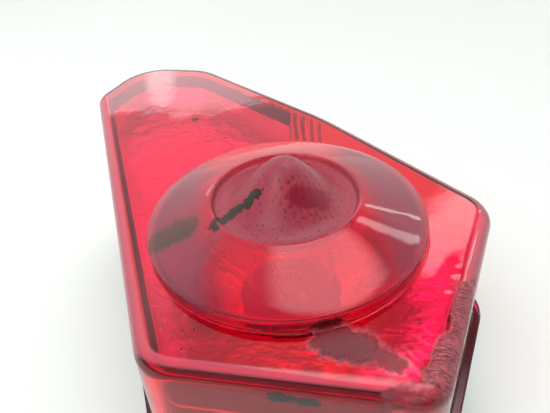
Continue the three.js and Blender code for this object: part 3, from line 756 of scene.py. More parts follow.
def holder_shell():
    bottom = low("socket_body").z
    inlet_reach = high("socket_body").y
    inlet_top = bottom + INLET_HEIGHT
    flange_top = low("socket_gasket").z - 0.3
    flange_bottom = flange_top - 2.7
    barrel = lathe([
        (0, bottom), (BARREL_R - 1.2, bottom), (BARREL_R, bottom + 1.2), (BARREL_R, flange_bottom),
        (HOLDER_FLANGE_R, flange_bottom), (HOLDER_FLANGE_R, flange_top), (BARREL_R, flange_top),
        (BARREL_R, BARREL_TOP), (0, BARREL_TOP),
    ], 96, 0.5)
    inlet = prism(rounded_rectangle(INLET_WIDTH, inlet_reach + 4, 1.6), bottom, inlet_top, 0.6)
    added = [moved(inlet, 0, inlet_reach / 2 - 2)]
    tab_bottom = TRAY_INSIDE + 0.3
    for angle in TAB_ANGLES:
        tab = sector(BARREL_R - 2, TAB_R, angle, TAB_HALF_ANGLE)
        added.append(prism(tab, tab_bottom, tab_bottom + 2.5, 0.4))
    for k in range(9):
        grip = prism(rounded_rectangle(1.6, 1.8, 0.5), bottom + 1.4, flange_bottom + 0.3, 0.3)
        added.append(turned(moved(grip, 0, -BARREL_R), -80 + 20 * k))
    cutters = [rod(BORE_R, HOLDER_FLOOR, BARREL_TOP + 1, 96)]
    mouth = prism(rounded_rectangle(INLET_WIDTH - 2 * INLET_WALL, INLET_CAVITY + 2, 1.0),
                  bottom + INLET_WALL, inlet_top - INLET_WALL, 0.3)
    cutters.append(moved(mouth, 0, inlet_reach - INLET_CAVITY / 2 + 1))
    for node in TERMINAL_NODES:
        blade_low, blade_high = low(node), high(node)
        slot = prism(rounded_rectangle(1.4, 22, 0.2), blade_low.z - 0.3, blade_high.z + 0.3, 0.1)
        cutters.append(moved(slot, middle(node).x, 13.5))
    return carved(carved(barrel, "UNION", added), "DIFFERENCE", cutters)


def gasket_shell():
    bottom, top = heights("socket_gasket")
    outer = high("socket_gasket").x
    inner = BARREL_R + 0.3
    ridge = (inner + outer) / 2
    section = [(inner, bottom), (ridge - 0.9, bottom + 0.25), (ridge, bottom), (ridge + 0.9, bottom + 0.25),
               (outer, bottom), (outer, top), (ridge + 0.9, top - 0.25), (ridge, top),
               (ridge - 0.9, top - 0.25), (inner, top)]
    return lathe(section, 96, 0.4, loop=True)


def pin_nodes():
    """Each bayonet pin with the angle at which it stands."""
    return (("bulb_pin_high", 0), ("bulb_pin_low", 180))


def sleeve_shell():
    """Metal sleeve with a J-shaped slot for each of the bulb's pins."""
    bottom, top = heights("bayonet_sleeve")
    inner = BASE_R + 0.3
    outer = inner + 0.6
    ring = [(inner, bottom), (BORE_R - 0.3, bottom), (BORE_R - 0.3, bottom + 1), (outer, bottom + 1),
            (outer, top - 0.5), (outer + 0.25, top), (inner + 0.1, top)]
    half = PIN_R + 0.3
    cutters = []
    for node, angle in pin_nodes():
        height = middle(node).z
        floor = height - PUSH - half
        entry = prism(rounded_rectangle(4, 2 * half, 0.2), floor, top + 1, 0.1)
        rest = prism(rounded_rectangle(4, 2 * half, 0.2), floor, height + half, 0.4)
        bend = sector(inner - 1, outer + 1, ENTRY_ANGLE / 2, ENTRY_ANGLE / 2)
        link = prism(bend, floor, floor + 2 * half, 0.1)
        legs = [turned(moved(entry, outer), ENTRY_ANGLE), moved(rest, outer), link]
        cutters += [turned(leg, angle) for leg in legs]
    return carved(lathe(ring, 96, 0.2, loop=True), "DIFFERENCE", cutters)


def terminal_shell(node):
    """Flat blade with a chamfered, pierced tip."""
    near, far = low(node), high(node)
    length, width = far.y - near.y, far.z - near.z
    side = [(0, 0), (length - 1.5, 0), (length, 1.2), (length, width - 1.2), (length - 1.5, width),
            (0, width)]
    blade = prism(side, -0.4, 0.4, 0.12)
    eye = moved(rod(0.75, -1, 1, 24), length - 3.4, width / 2)
    blade = carved(blade, "DIFFERENCE", [eye])
    upright = turned(turned(blade, 90, "X"), 90)
    return moved(upright, middle(node).x, near.y, near.z)


def plate_shell():
    bottom, top = heights("contact_plate")
    radius = high("contact_plate").x
    chamfer = [(radius - 0.8, bottom), (radius, bottom + 0.6)]
    plate = lathe([(0, bottom), *chamfer, (radius, top), (0, top)], 64, 0.25)
    holes = [moved(rod(1.7, bottom - 1, top + 1), 0, middle(node).y) for node in STUD_NODES]
    return carved(plate, "DIFFERENCE", holes)


def stud_shell(node):
    bottom, top = heights(node)
    profile = [(0, bottom), (1.4, bottom), (1.4, bottom + 0.9), (1.15, bottom + 1.1), (1.15, top - 0.9),
               (1.4, top - 0.7), (1.4, top - 0.3), (0.9, top), (0, top)]
    return moved(lathe(profile, 32, 0.12), 0, middle(node).y)


def spring_shell():
    """Compression spring: an even helix, with plain ends."""
    wire, radius, turns = 0.45, 5.9, 4
    bottom, top = low("contact_spring").z + wire, high("contact_spring").z - wire
    share = np.linspace(0, 1, 260)
    angle = 2 * np.pi * turns * share
    rise = bottom + (top - bottom) * share
    path = np.column_stack([radius * np.cos(angle), radius * np.sin(angle), rise])
    return tube(path, wire, 14)


# ---------------------------------------------------------------------------------------------
# Bulb
# ---------------------------------------------------------------------------------------------

GLASS_R = 12.5
GLASS_WALL = 0.8
NECK_R = 6.4
GLASS_LOW = -48


def glass_profile(inset):
    foot = low("bulb_glass").z
    radius = GLASS_R - inset
    lowest = math.radians(GLASS_LOW)
    neck = soften([(NECK_R - inset, foot), (NECK_R - inset, -36.2), (NECK_R + 0.9 - inset, -33.2),
                   (radius * math.cos(lowest), FOCUS_Z + radius * math.sin(lowest))], 1.4, 6)
    ball = arc_points(0, FOCUS_Z, radius, GLASS_LOW, 89.9, 40)[1:]
    return neck + ball


def glass_shell():
    outer, inner = glass_profile(0), glass_profile(GLASS_WALL)
    rings = [circle(r, z, 96) for r, z in outer[:-1]] + [pole(FOCUS_Z + GLASS_R)]
    shell_out = skin(rings)
    rings_in = [circle(r, z, 96) for r, z in inner[:-1]] + [pole(FOCUS_Z + GLASS_R - GLASS_WALL)]
    shell_in = skin(rings_in)
    rim = skin([circle(outer[0][0], outer[0][1], 96), circle(inner[0][0], inner[0][1], 96)])
    return merged([shell_out, shell_in, rim])


def base_shell():
    """Brass bayonet cap with a rolled top edge and a hole for each pin."""
    bottom, top = heights("bulb_base")
    inner = BASE_R - 0.6
    section = [(inner, bottom), (BASE_R - 0.35, bottom), (BASE_R, bottom + 0.6), (BASE_R, top - 3.2),
               (BASE_R - 0.25, top - 2.8), (BASE_R - 0.25, top - 2.2), (BASE_R, top - 1.8),
               (BASE_R, top), (inner, top)]
    holes = []
    for node, angle in pin_nodes():
        hole = rod(PIN_R + 0.2, BASE_R - 2, BASE_R + 1)
        holes.append(moved(turned(turned(hole, 90, "Y"), angle), 0, 0, middle(node).z))
    return carved(lathe(section, 96, 0.2, loop=True), "DIFFERENCE", holes)


def pin_shell(node, angle):
    reach = max(abs(low(node).x), abs(high(node).x))
    inner = min(abs(low(node).x), abs(high(node).x))
    pin = rod(PIN_R, inner, reach, 32, 0.3)
    return moved(turned(turned(pin, 90, "Y"), angle), 0, 0, middle(node).z)


def insulator_shell():
    bottom, top = heights("bulb_insulator")
    radius = high("bulb_insulator").x
    profile = [(0, bottom + 0.15), (radius - 1.2, bottom + 0.15), (radius - 0.5, bottom),
               (radius, bottom + 0.3), (radius, top), (0, top)]
    return lathe(profile, 64, 0.2)


def solder_shell(node):
    """Drop of solder, slightly lopsided."""
    bottom, top = heights(node)
    radius = high(node).x
    profile = [(0, bottom)] + arc_points(0, top - 0.1, 1, -80, 0, 8) + [(1, top), (0, top)]
    points = [(r * radius, z if z > top - 0.1 else top - 0.1 + (z - top + 0.1) * (top - 0.1 - bottom))
              for r, z in profile[1:]]
    rings = [circle(r, max(z, bottom), 32) for r, z in points[:-1]]
    return moved(skin([pole(bottom)] + rings + [pole(top)]), 0, middle(node).y)


def stem_shell():
    """Glass stem that is pressed flat where the wires pass."""
    bottom, top = heights("glass_stem")
    profile = soften([(0, bottom), (5.3, bottom), (4.6, bottom + 2.5), (2.6, bottom + 6.5),
                      (2.2, top - 0.5), (0, top)], 0.9, 5)
    rings = []
    for r, z in profile:
        ring = circle(r, z, 48) if r > 1e-9 else pole(z)
        share = min(1.0, max(0.0, (z - bottom - 4) / 5))
        ring[:, 1] *= 1 - 0.35 * share
        rings.append(ring)
    return skin(rings)


def filament_shell(node, coil_turns):
    """Coiled tungsten wire with its two support wires."""
    near, far = low(node), high(node)
    y = middle(node).y
    span, height, foot = far.x - 0.5, far.z - 0.55, near.z + 0.3
    support = []
    for side in (-1, 1):
        points = [Vector((side * 1.0, y, foot)), Vector((side * 1.5, y, foot + 2.5)),
                  Vector((side * span, y, height - 4)), Vector((side * span, y, height - 1)),
                  Vector((side * (span - 0.15), y, height - 0.45))]
        support.append(tube(smooth_path(points, 8), 0.22, 10))
    share = np.linspace(0, 1, 18 * coil_turns)
    angle = 2 * np.pi * coil_turns * share
    sag = 0.35 * (1 - (2 * share - 1) ** 2)
    rise = height - 0.3 + sag + 0.26 * np.sin(angle) - 0.12
    path = np.column_stack([(span - 0.1) * (2 * share - 1), y + 0.26 * np.cos(angle), rise])
    return merged(support + [tube(path, 0.085, 6)])


def smooth_path(points, steps):
    """A Catmull-Rom curve through points."""
    ends = [points[0] * 2 - points[1], *points, points[-1] * 2 - points[-2]]
    path = []
    for a, b, c, d in zip(ends, ends[1:], ends[2:], ends[3:]):
        for t in np.linspace(0, 1, steps, endpoint=False):
            path.append(0.5 * (2 * b + (c - a) * t + (2 * a - 5 * b + 4 * c - d) * t**2
                               + (3 * b - a - 3 * c + d) * t**3))
    path.append(points[-1])
    return path


# ---------------------------------------------------------------------------------------------
# Materials
# ---------------------------------------------------------------------------------------------


class Tree:
    """Shader nodes of a material or of the world, with shorthands that give back output sockets."""

    def __init__(self, owner):
        owner.use_nodes = True
        self.nodes = owner.node_tree.nodes
        self.links = owner.node_tree.links
        self.nodes.clear()

    def add(self, kind, **settings):
        node = self.nodes.new(kind)
        for key, value in settings.items():
            setattr(node, key, value)
        return node

    def feed(self, socket, value):
        """Links a socket, or sets it to a number or colour."""
        if isinstance(value, bpy.types.NodeSocket):
            self.links.new(value, socket)
        else:
            socket.default_value = value

    def math(self, operation, *values, clamp=False):
        node = self.add("ShaderNodeMath", operation=operation, use_clamp=clamp)
        for socket, value in zip(node.inputs, values):
            self.feed(socket, value)
        return node.outputs[0]

    def times(self, first, second):
        return self.math("MULTIPLY", first, second)

    def plus(self, first, second):
        return self.math("ADD", first, second)

    def vector(self, operation, *values, scale=None):
        node = self.add("ShaderNodeVectorMath", operation=operation)
        for socket, value in zip(node.inputs, values):
            self.feed(socket, value)
        if scale is not None:
            self.feed(node.inputs["Scale"], scale)
        measures = operation in ("LENGTH", "DOT_PRODUCT", "DISTANCE")
        return node.outputs["Value" if measures else "Vector"]

    def ramp(self, value, start, end, low_value=0.0, high_value=1.0):
        """Maps start..end smoothly to low_value..high_value."""
        node = self.add("ShaderNodeMapRange", interpolation_type="SMOOTHSTEP")
        for socket, given in zip(node.inputs, (value, start, end, low_value, high_value)):
            self.feed(socket, given)
        return node.outputs[0]

    def mix(self, share, first, second):
        node = self.add("ShaderNodeMix", data_type="RGBA")
        self.feed(node.inputs[0], share)
        self.feed(node.inputs[6], first)
        self.feed(node.inputs[7], second)
        return node.outputs[2]

    def stroke(self, start, end, radius, soft, place):
        """1 within a radius of the line from start to end, fading to 0 over `soft`."""
        line = Vector(end) - Vector(start)
        from_start = self.vector("SUBTRACT", place, tuple(start))
        along = self.vector("DOT_PRODUCT", from_start, tuple(line / line.length_squared))
        held = self.math("ADD", along, 0.0, clamp=True)
        nearest = self.vector("SCALE", tuple(line), scale=held)
        away = self.vector("LENGTH", self.vector("SUBTRACT", from_start, nearest))
        return self.ramp(away, radius + soft, radius)


class Surface(Tree):
    """A material round one Principled shader. Places are in millimetres about the bullseye's axis."""

    def __init__(self, name):
        self.material = bpy.data.materials.new(name)
        super().__init__(self.material)
        self.output = self.nodes.new("ShaderNodeOutputMaterial")
        coordinates = self.nodes.new("ShaderNodeTexCoord")
        self.shader = self.add("ShaderNodeBsdfPrincipled")
        self.links.new(self.shader.outputs[0], self.output.inputs["Surface"])
        shifted = self.vector("SUBTRACT", coordinates.outputs["Object"], tuple(ORIGIN))
        self.place = self.vector("SCALE", shifted, scale=1 / MM)

    def set(self, **values):
        """Sets or links the Principled shader's own sockets, with _ for a space in a name."""
        for key, value in values.items():
            self.feed(self.shader.inputs[key.replace("_", " ")], value)

    def noise(self, scale, detail=3, roughness=0.5, place=None, colour=False):
        node = self.add("ShaderNodeTexNoise")
        self.feed(node.inputs["Vector"], place or self.place)
        self.feed(node.inputs["Scale"], scale)
        self.feed(node.inputs["Detail"], detail)
        self.feed(node.inputs["Roughness"], roughness)
        return node.outputs["Color" if colour else 0]

    def mark(self, start, end, radius, soft, place=None):
        """A stroke on the piece, between two places on it."""
        return self.stroke(start, end, radius, soft, place or self.place)

    def bump(self, height, distance, strength=1.0):
        node = self.add("ShaderNodeBump")
        self.feed(node.inputs["Height"], height)
        self.feed(node.inputs["Distance"], distance * MM)
        self.feed(node.inputs["Strength"], strength)
        self.feed(self.shader.inputs["Normal"], node.outputs[0])


def most(tree, *masks):
    """The largest of several masks."""
    result = masks[0]
    for mask in masks[1:]:
        result = tree.math("MAXIMUM", result, mask)
    return result


def let_light_through(tree, tint):
    """Shadow and diffuse rays pass straight through a transparent moulding, tinted, as in a thin shell."""
    path = tree.add("ShaderNodeLightPath")
    clear = tree.add("ShaderNodeBsdfTransparent")
    clear.inputs["Color"].default_value = tint
    mixer = tree.add("ShaderNodeMixShader")
    passing = tree.math("MAXIMUM", path.outputs["Is Shadow Ray"], path.outputs["Is Diffuse Ray"])
    tree.feed(mixer.inputs[0], passing)
    tree.links.new(tree.shader.outputs[0], mixer.inputs[1])
    tree.links.new(clear.outputs[0], mixer.inputs[2])
    tree.links.new(mixer.outputs[0], tree.output.inputs["Surface"])


LENS_TINT = (1.0, 0.05, 0.60, 1)
LENS_DENSITY = 900
ACRYLIC_IOR = 1.49
PASSING_TINT = (0.96, 0.30, 0.46, 1)
FRESH = (1.0, 0.62, 0.78, 1)
# Dull red film of worn places, also used for the painted shade in the rib grooves
DULL_AND_SHADE = (0.19, 0.024, 0.038, 1)
CHALKY = (0.50, 0.10, 0.13, 1)
CRACK = (0.13, 0.03, 0.04, 1)
GRIME = (0.020, 0.026, 0.020, 1)
MOULD = (0.11, 0.085, 0.065, 1)
# Red film of the cone, and the painted glow on the walls that face the front
MILKY_AND_GLOW = (0.90, 0.030, 0.09, 1)
HAZY = (0.44, 0.075, 0.13, 1)
# Colour of the painted shade on the left and right sides of the cone
SIDE_SHADE = (0.33, 0.075, 0.12, 1)
# Colour of the painted dark reflection on the bell, also used for the lattice of dots around it
DARK_REFLECTION_AND_DOTS = (0.30, 0.010, 0.045, 1)
# Colour of the worn rounded edge, which also carries a painted sheen
WORN_EDGE_AND_SHEEN = (0.80, 0.17, 0.25, 1)
TABLE_LOW = (0.82, 0.87, 0.83, 1)
TABLE_HIGH = (0.88, 0.92, 0.885, 1)
LATTICE = 2 * math.pi / PILLOW_PITCH
STREAK = [(-14.4, -13.4, 8.9), (-13.8, -9.4, 7.5), (-12.2, -7.5, 7.9), (-10.2, -6.9, 9.1),
          (-8.2, -6.6, 10.8), (-6.6, -6.4, 12.3), (-5.3, -6.2, 13.4)]


def scraped(tree, ragged):
    """Mask of the scraped strip along the right-hand edge, and of the cracks that run across it."""
    strip = most(tree,
                 tree.mark((44.6, -7, -2.2), (42.6, -19, -1.6), 0.6, 0.5, ragged),
                 tree.mark((42.0, -18, -1.2), (39.0, -31, -1.6), 1.5, 0.9, ragged),
                 tree.mark((38.0, -33, -1.4), (34.5, -40, -2.4), 2.2, 1.4, ragged),
                 tree.times(tree.mark((34, -42, -4), (27, -45, -3), 0.8, 3.4, ragged), 0.5))
    across = tree.vector("MULTIPLY", tree.place, (0.3, 3.0, 0.6))
    cracks = tree.ramp(tree.noise(1.0, 6, 0.75, across), 0.50, 0.40)
    return strip, cracks


def edge_wear_and_sheen(tree, height, normal_y, facing):
    """Mask of the hazy rounded edge: partly wear, partly a painted sheen standing for the pale reflection along
    it; strongest on the far sides and absent on the lower one.
    """
    on_edge = tree.times(tree.ramp(height, -0.005, -0.08), tree.ramp(height, -6.0, -4.2))
    rounded = tree.times(on_edge, tree.ramp(facing, 0.9995, 0.98))
    sides = tree.times(tree.ramp(normal_y, -0.62, -0.5), tree.ramp(normal_y, 0.1, 0.5, 0.4, 0.85))
    return tree.times(rounded, sides)


def rib_groove_shade(tree, height):
    """Mask of the painted shade in the grooves between the ribs, above the reflector's deck."""
    corner, along, inward = slant_frame()
    from_corner = tree.vector("SUBTRACT", tree.place, (*corner, 0))
    distance = tree.vector("DOT_PRODUCT", from_corner, (*along, 0))
    depth = tree.vector("DOT_PRODUCT", from_corner, (*inward, 0))
    turns = tree.times(tree.math("SUBTRACT", distance, RIB_START), 2 * math.pi / RIB_PITCH)
    grooves = tree.ramp(tree.math("COSINE", turns), -0.2, -0.9)
    inner_face = tree.times(tree.ramp(depth, 1.4, 2.0), tree.ramp(depth, 4.4, 3.8))
    band = tree.times(tree.ramp(height, -15.5, -14.0), tree.ramp(height, -3.4, -4.6))
    reach = tree.times(tree.ramp(distance, -3.0, -1.0), tree.ramp(distance, 27.0, 24.0))
    return tree.times(tree.times(grooves, inner_face), tree.times(band, reach))


def lens_material():
    """Red acrylic: clear and glossy, with dull, scraped, scratched and dirty places, and with painted shade, a
    painted glow, a painted sheen and a painted reflection.
    """
    tree = Surface("lens_red")
    shake = tree.vector("SUBTRACT", tree.noise(0.45, 5, 0.65, colour=True), (0.5, 0.5, 0.5))
    ragged = tree.vector("ADD", tree.place, tree.vector("SCALE", shake, scale=3.0))
    torn = tree.vector("ADD", tree.place, tree.vector("SCALE", shake, scale=6.0))
    grain = tree.noise(1.8, 5, 0.7)
    radius = tree.vector("LENGTH", tree.vector("MULTIPLY", tree.place, (1, 1, 0)))
    split = tree.add("ShaderNodeSeparateXYZ")
    tree.links.new(tree.place, split.inputs[0])
    height = split.outputs["Z"]
    faces = tree.add("ShaderNodeSeparateXYZ")
    tree.links.new(tree.add("ShaderNodeNewGeometry").outputs["Normal"], faces.inputs[0])
    # Paler rounded edge: worn haze with a painted sheen, set by which way the edge faces
    edge = edge_wear_and_sheen(tree, height, faces.outputs["Y"], tree.math("ABSOLUTE", faces.outputs["Z"]))
    grooves = rib_groove_shade(tree, height)
    # Painted glow: the walls that face the front get a lighter red film, standing for light scattered inside the
    # lens there
    near_wall_glow = tree.times(tree.ramp(height, -0.5, -2.0), tree.ramp(faces.outputs["Y"], -0.4, -0.7))

    strip, cracks = scraped(tree, ragged)
    blotch = most(tree,
                  tree.mark((14.5, -35, 0), (20, -36, 0), 1.6, 3.8, torn),
                  tree.mark((20, -36, 0), (27, -39.5, 0), 0.2, 3.0, torn))
    blotch = tree.times(blotch, tree.ramp(grain, 0.3, 0.55, 0.5, 1.0))
    raised = tree.ramp(height, 0.4, 1.2)
    bell_haze = tree.times(raised, tree.ramp(radius, 18.8, 17.8))
    cone_milk = tree.times(raised, tree.ramp(radius, 17.8, 18.8))
    # Painted reflection: a dark spot on the near right side of the bell stands for a dark thing mirrored there;
    # the ring round it holds specks and the lattice of dots
    spot = tree.mark((4.5, -6.3, 13.6), (9.5, -4.0, 11), 2.0, 1.4, ragged)
    ring = tree.mark((4.5, -6.3, 13.6), (9.5, -4.0, 11), 3.8, 2.6, ragged)
    speckle = tree.times(tree.math("SUBTRACT", ring, spot, clamp=True), tree.ramp(grain, 0.5, 0.62))
    dots = tree.times(tree.math("SINE", tree.times(split.outputs["X"], LATTICE)),
                      tree.math("SINE", tree.times(split.outputs["Y"], LATTICE)))
    lattice = tree.times(tree.ramp(dots, 0.1, 0.7), tree.times(ring, bell_haze))
    haze = tree.times(bell_haze, tree.ramp(grain, 0.38, 0.58, 0.28, 0.56))
    # Painted shade: two darker, greyer sectors on the cone's left and right sides, standing for how light falls
    # there
    sideways = tree.math("ABSOLUTE", tree.vector("DOT_PRODUCT", tree.place, (0.95, 0.3, 0.0)))
    painted_side_shade = tree.times(cone_milk, tree.ramp(sideways, 12.0, 24.0))

    fine_place = tree.vector("MULTIPLY", tree.place, (1.0, 0.07, 0.5))
    fine = tree.ramp(tree.noise(2.6, 3, 0.7, fine_place), 0.66, 0.72)
    scratches = most(tree,
                     tree.mark((22, -21, 3), (27, -36, 0), 0.03, 0.09),
                     tree.mark((30, -29, 0), (42, -24, 0), 0.03, 0.09),
                     tree.mark((24, -24, 3), (36, -39, 0), 0.02, 0.08),
                     tree.times(fine, tree.ramp(tree.noise(0.09, 3), 0.55, 0.7)))

    streak = most(tree,
                  *[tree.mark(a, b, 0.2, 1.5, torn) for a, b in zip(STREAK, STREAK[1:])],
                  tree.mark(STREAK[3], STREAK[5], 0.7, 1.2, torn),
                  tree.mark((4, -46.5, -4.1), (12, -46.5, -4.5), 0.1, 1.8, torn))
    streak = tree.times(streak, tree.ramp(grain, 0.28, 0.5, 0.2, 0.85))
    stain = most(tree,
                 tree.mark((-29.6, -16.2, 3.9), (-28, -14.8, 4.7), 0.2, 3.4, torn),
                 tree.times(tree.mark((-28, -15, 4.7), (-22.5, -12.6, 6.8), 0.8, 4.2, torn), 0.6))
    specks = tree.add("ShaderNodeTexVoronoi")
    tree.feed(specks.inputs["Vector"], tree.place)
    tree.feed(specks.inputs["Scale"], 0.8)
    pits = most(tree,
                tree.mark((-19, -36, 0), (-11, -35.5, 0), 1.2, 1.0, ragged),
                tree.mark((-16, -41, -1), (-11, -40.5, -1), 0.8, 1.0, ragged),
                tree.times(bell_haze, tree.ramp(grain, 0.45, 0.6, 0.0, 0.8)))
    chips = tree.times(tree.ramp(specks.outputs["Distance"], 0.26, 0.16), pits)

    scraped_colour = tree.mix(cracks, tree.mix(tree.ramp(grain, 0.25, 0.55), DULL_AND_SHADE, CHALKY), CRACK)
    film = tree.mix(tree.ramp(tree.plus(cone_milk, near_wall_glow), 0.0, 0.3), DULL_AND_SHADE, MILKY_AND_GLOW)
    film = tree.mix(tree.ramp(edge, 0.0, 0.1), film, WORN_EDGE_AND_SHEEN)
    film = tree.mix(painted_side_shade, film, SIDE_SHADE)
    film = tree.mix(tree.ramp(haze, 0.0, 0.1), film, HAZY)
    film = tree.mix(most(tree, spot, lattice), film, DARK_REFLECTION_AND_DOTS)
    # Dull patches, and painted shade in the grooves between the ribs
    film = tree.mix(tree.ramp(most(tree, blotch, grooves), 0.0, 0.2), film, DULL_AND_SHADE)
    film = tree.mix(tree.ramp(strip, 0.0, 0.2), film, scraped_colour)
    film = tree.mix(most(tree, speckle, scratches), film, CHALKY)
    film = tree.mix(tree.ramp(stain, 0.0, 0.3), film, MOULD)
    film = tree.mix(tree.ramp(most(tree, streak, chips), 0.0, 0.3), film, GRIME)
    shares = ((strip, 0.76), (blotch, 0.62), (speckle, 0.5), (scratches, 0.3), (stain, 0.34),
              (chips, 0.5), (grooves, 0.32), (cone_milk, 0.28), (near_wall_glow, 0.07), (painted_side_shade, 0.5),
              (spot, 0.5), (lattice, 0.7))
    covered = most(tree, streak, edge, haze, *[tree.times(mask, share) for mask, share in shares])
    tree.set(
        Base_Color=tree.mix(most(tree, tree.ramp(covered, 0.0, 0.3), near_wall_glow), FRESH, film),
        Transmission_Weight=tree.math("SUBTRACT", 1.0, covered, clamp=True),
        Roughness=tree.ramp(most(tree, strip, blotch, streak, bell_haze), 0.0, 1.0, 0.035, 0.42),
        IOR=ACRYLIC_IOR,
    )
    relief = tree.plus(tree.times(tree.times(cracks, strip), -0.8), tree.times(tree.noise(0.06, 3), 0.6))
    tree.bump(relief, 0.35, 0.6)
    inside = tree.add("ShaderNodeVolumeAbsorption")
    inside.inputs["Color"].default_value = LENS_TINT
    inside.inputs["Density"].default_value = LENS_DENSITY
    tree.links.new(inside.outputs[0], tree.output.inputs["Volume"])
    let_light_through(tree, PASSING_TINT)
    return tree.material


def glass_material(name):
    """Clear blown glass with a faint unevenness."""
    tree = Surface(name)
    tree.set(Base_Color=(0.97, 0.99, 0.98, 1), Transmission_Weight=1.0, Roughness=0.0, IOR=1.5)
    tree.bump(tree.noise(0.12, 2), 0.25, 0.3)
    let_light_through(tree, (1, 1, 1, 1))
    return tree.material


def metallised_material():
    """Vacuum-coated film, satin on the wavy deck and bright in the bowl, faintly dusty."""
    tree = Surface("reflector_metal")
    dust = tree.ramp(tree.noise(0.9, 6, 0.7), 0.5, 0.8)
    bowl = tree.mark((0, 0, -30), (0, 0, DECK_Z), BOWL_MOUTH_R + 0.2, 0.6)
    tree.set(
        Base_Color=tree.mix(tree.times(dust, 0.3), (0.96, 0.96, 0.96, 1), (0.62, 0.60, 0.59, 1)),
        Metallic=1.0,
        Roughness=tree.ramp(bowl, 0.0, 1.0, 0.38, 0.10),
    )
    waves = tree.vector("MULTIPLY", tree.place, (1.0, 1.6, 1.0))
    swirls = tree.mark((-62, 72, DECK_Z), (-34, 58, DECK_Z), 12, 14)
    slow = tree.plus(tree.noise(0.09, 3, 0.6, waves), tree.times(tree.noise(0.2, 2), swirls))
    tree.bump(tree.plus(slow, tree.times(tree.noise(0.9, 2), 0.04)), 2.0, 0.6)
    return tree.material


def plastic_material(name, dark, pale, grain_scale=2.4):
    """Moulded plastic with a fine grain and paler patches."""
    tree = Surface(name)
    patches = tree.ramp(tree.noise(0.05, 5, 0.65), 0.35, 0.75)
    tree.set(
        Base_Color=tree.mix(patches, dark, pale),
        Roughness=tree.ramp(tree.noise(0.35, 5, 0.7), 0.3, 0.75, 0.42, 0.66),
    )
    tree.bump(tree.noise(grain_scale, 4, 0.7), 0.06, 0.7)
    return tree.material


def rubber_material():
    """Matte rubber with a paler bloom in patches."""
    tree = Surface("seal_rubber")
    bloom = tree.ramp(tree.noise(0.2, 6, 0.7), 0.42, 0.72, 0.0, 0.6)
    tree.set(
        Base_Color=tree.mix(bloom, (0.022, 0.022, 0.023, 1), (0.085, 0.082, 0.078, 1)),
        Roughness=tree.ramp(bloom, 0.0, 0.6, 0.62, 0.9),
    )
    tree.bump(tree.noise(3.0, 3, 0.6), 0.05, 0.6)
    return tree.material


def metal_material(name, bright, dull, roughness):
    """Metal with tarnish in patches and fine marks."""
    tree = Surface(name)
    tarnish = tree.ramp(tree.noise(0.5, 6, 0.7), 0.4, 0.75)
    marks = tree.noise(2.6, 3, 0.6)
    tree.set(
        Base_Color=tree.mix(tarnish, bright, dull),
        Metallic=1.0,
        Roughness=tree.ramp(tree.plus(marks, tree.times(tarnish, 0.4)), 0.2, 1.1,
                            roughness * 0.7, roughness * 1.6),
    )
    tree.bump(marks, 0.03, 0.6)
    return tree.material


def floor_material():
    """Pale smooth table top, faintly green."""
    material = bpy.data.materials.new("table_top")
    tree = Tree(material)
    shader = tree.add("ShaderNodeBsdfPrincipled")
    output = tree.add("ShaderNodeOutputMaterial")
    grain = tree.add("ShaderNodeTexNoise")
    tree.feed(grain.inputs["Vector"], tree.add("ShaderNodeTexCoord").outputs["Object"])
    tree.feed(grain.inputs["Scale"], 3.0)
    tree.feed(shader.inputs["Base Color"], tree.mix(grain.outputs[0], TABLE_LOW, TABLE_HIGH))
    tree.feed(shader.inputs["Roughness"], 0.55)
    tree.feed(output.inputs["Surface"], shader.outputs[0])
    return material


# ---------------------------------------------------------------------------------------------
# The pieces
# ---------------------------------------------------------------------------------------------

red = lens_material()
clear = glass_material("bulb_glass")
coated = metallised_material()
black = plastic_material("housing_black", (0.016, 0.016, 0.017, 1), (0.045, 0.044, 0.043, 1))
bare = plastic_material("reflector_back", (0.02, 0.02, 0.021, 1), (0.04, 0.04, 0.04, 1))
phenolic = plastic_material("insulator", (0.03, 0.016, 0.010, 1), (0.07, 0.04, 0.025, 1), 5.0)
rubber = rubber_material()
zinc = metal_material("zinc_steel", (0.70, 0.71, 0.72, 1), (0.50, 0.49, 0.46, 1), 0.28)
brass = metal_material("brass", (0.80, 0.60, 0.27, 1), (0.50, 0.36, 0.17, 1), 0.25)
solder = metal_material("solder", (0.62, 0.62, 0.63, 1), (0.36, 0.36, 0.36, 1), 0.42)
tungsten = metal_material("tungsten", (0.46, 0.46, 0.48, 1), (0.25, 0.25, 0.27, 1), 0.35)

piece("lens", lens_shell(), [red], sharp=55)
piece("lens_seal", seal_shell(), [rubber])
piece("housing", housing_shell(), [black], sharp=32)
piece("vent_cap", vent_cap_shell(), [rubber])
piece("reflector", reflector_shell(), [coated, bare], sharp=32, chooser=is_coated)
for node in INSERT_NODES:
    piece(node, insert_shell(node), [brass], sharp=25)
for node in SCREW_NODES:
    piece(node, screw_shell(node), [zinc], sharp=30)

piece("socket_body", holder_shell(), [black], sharp=32)
piece("socket_gasket", gasket_shell(), [rubber])
piece("bayonet_sleeve", sleeve_shell(), [zinc], sharp=32)
for node in TERMINAL_NODES:
    piece(node, terminal_shell(node), [brass], sharp=30)
spring = piece("contact_spring", spring_shell(), [zinc])
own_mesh(spring)
piece("contact_plate", plate_shell(), [phenolic], sharp=32)
for node in STUD_NODES:
    piece(node, stud_shell(node), [brass])

piece("bulb_glass", glass_shell(), [clear], sharp=60)
piece("bulb_base", base_shell(), [brass], sharp=32)
for node, angle in pin_nodes():
    piece(node, pin_shell(node, angle), [brass])
piece("bulb_insulator", insulator_shell(), [phenolic])
for node in ("bulb_contact_tail", "bulb_contact_brake"):
    piece(node, solder_shell(node), [solder])
piece("glass_stem", stem_shell(), [clear], sharp=60)
piece("filament_tail", filament_shell("filament_tail", 10), [tungsten])
piece("filament_brake", filament_shell("filament_brake", 14), [tungsten])

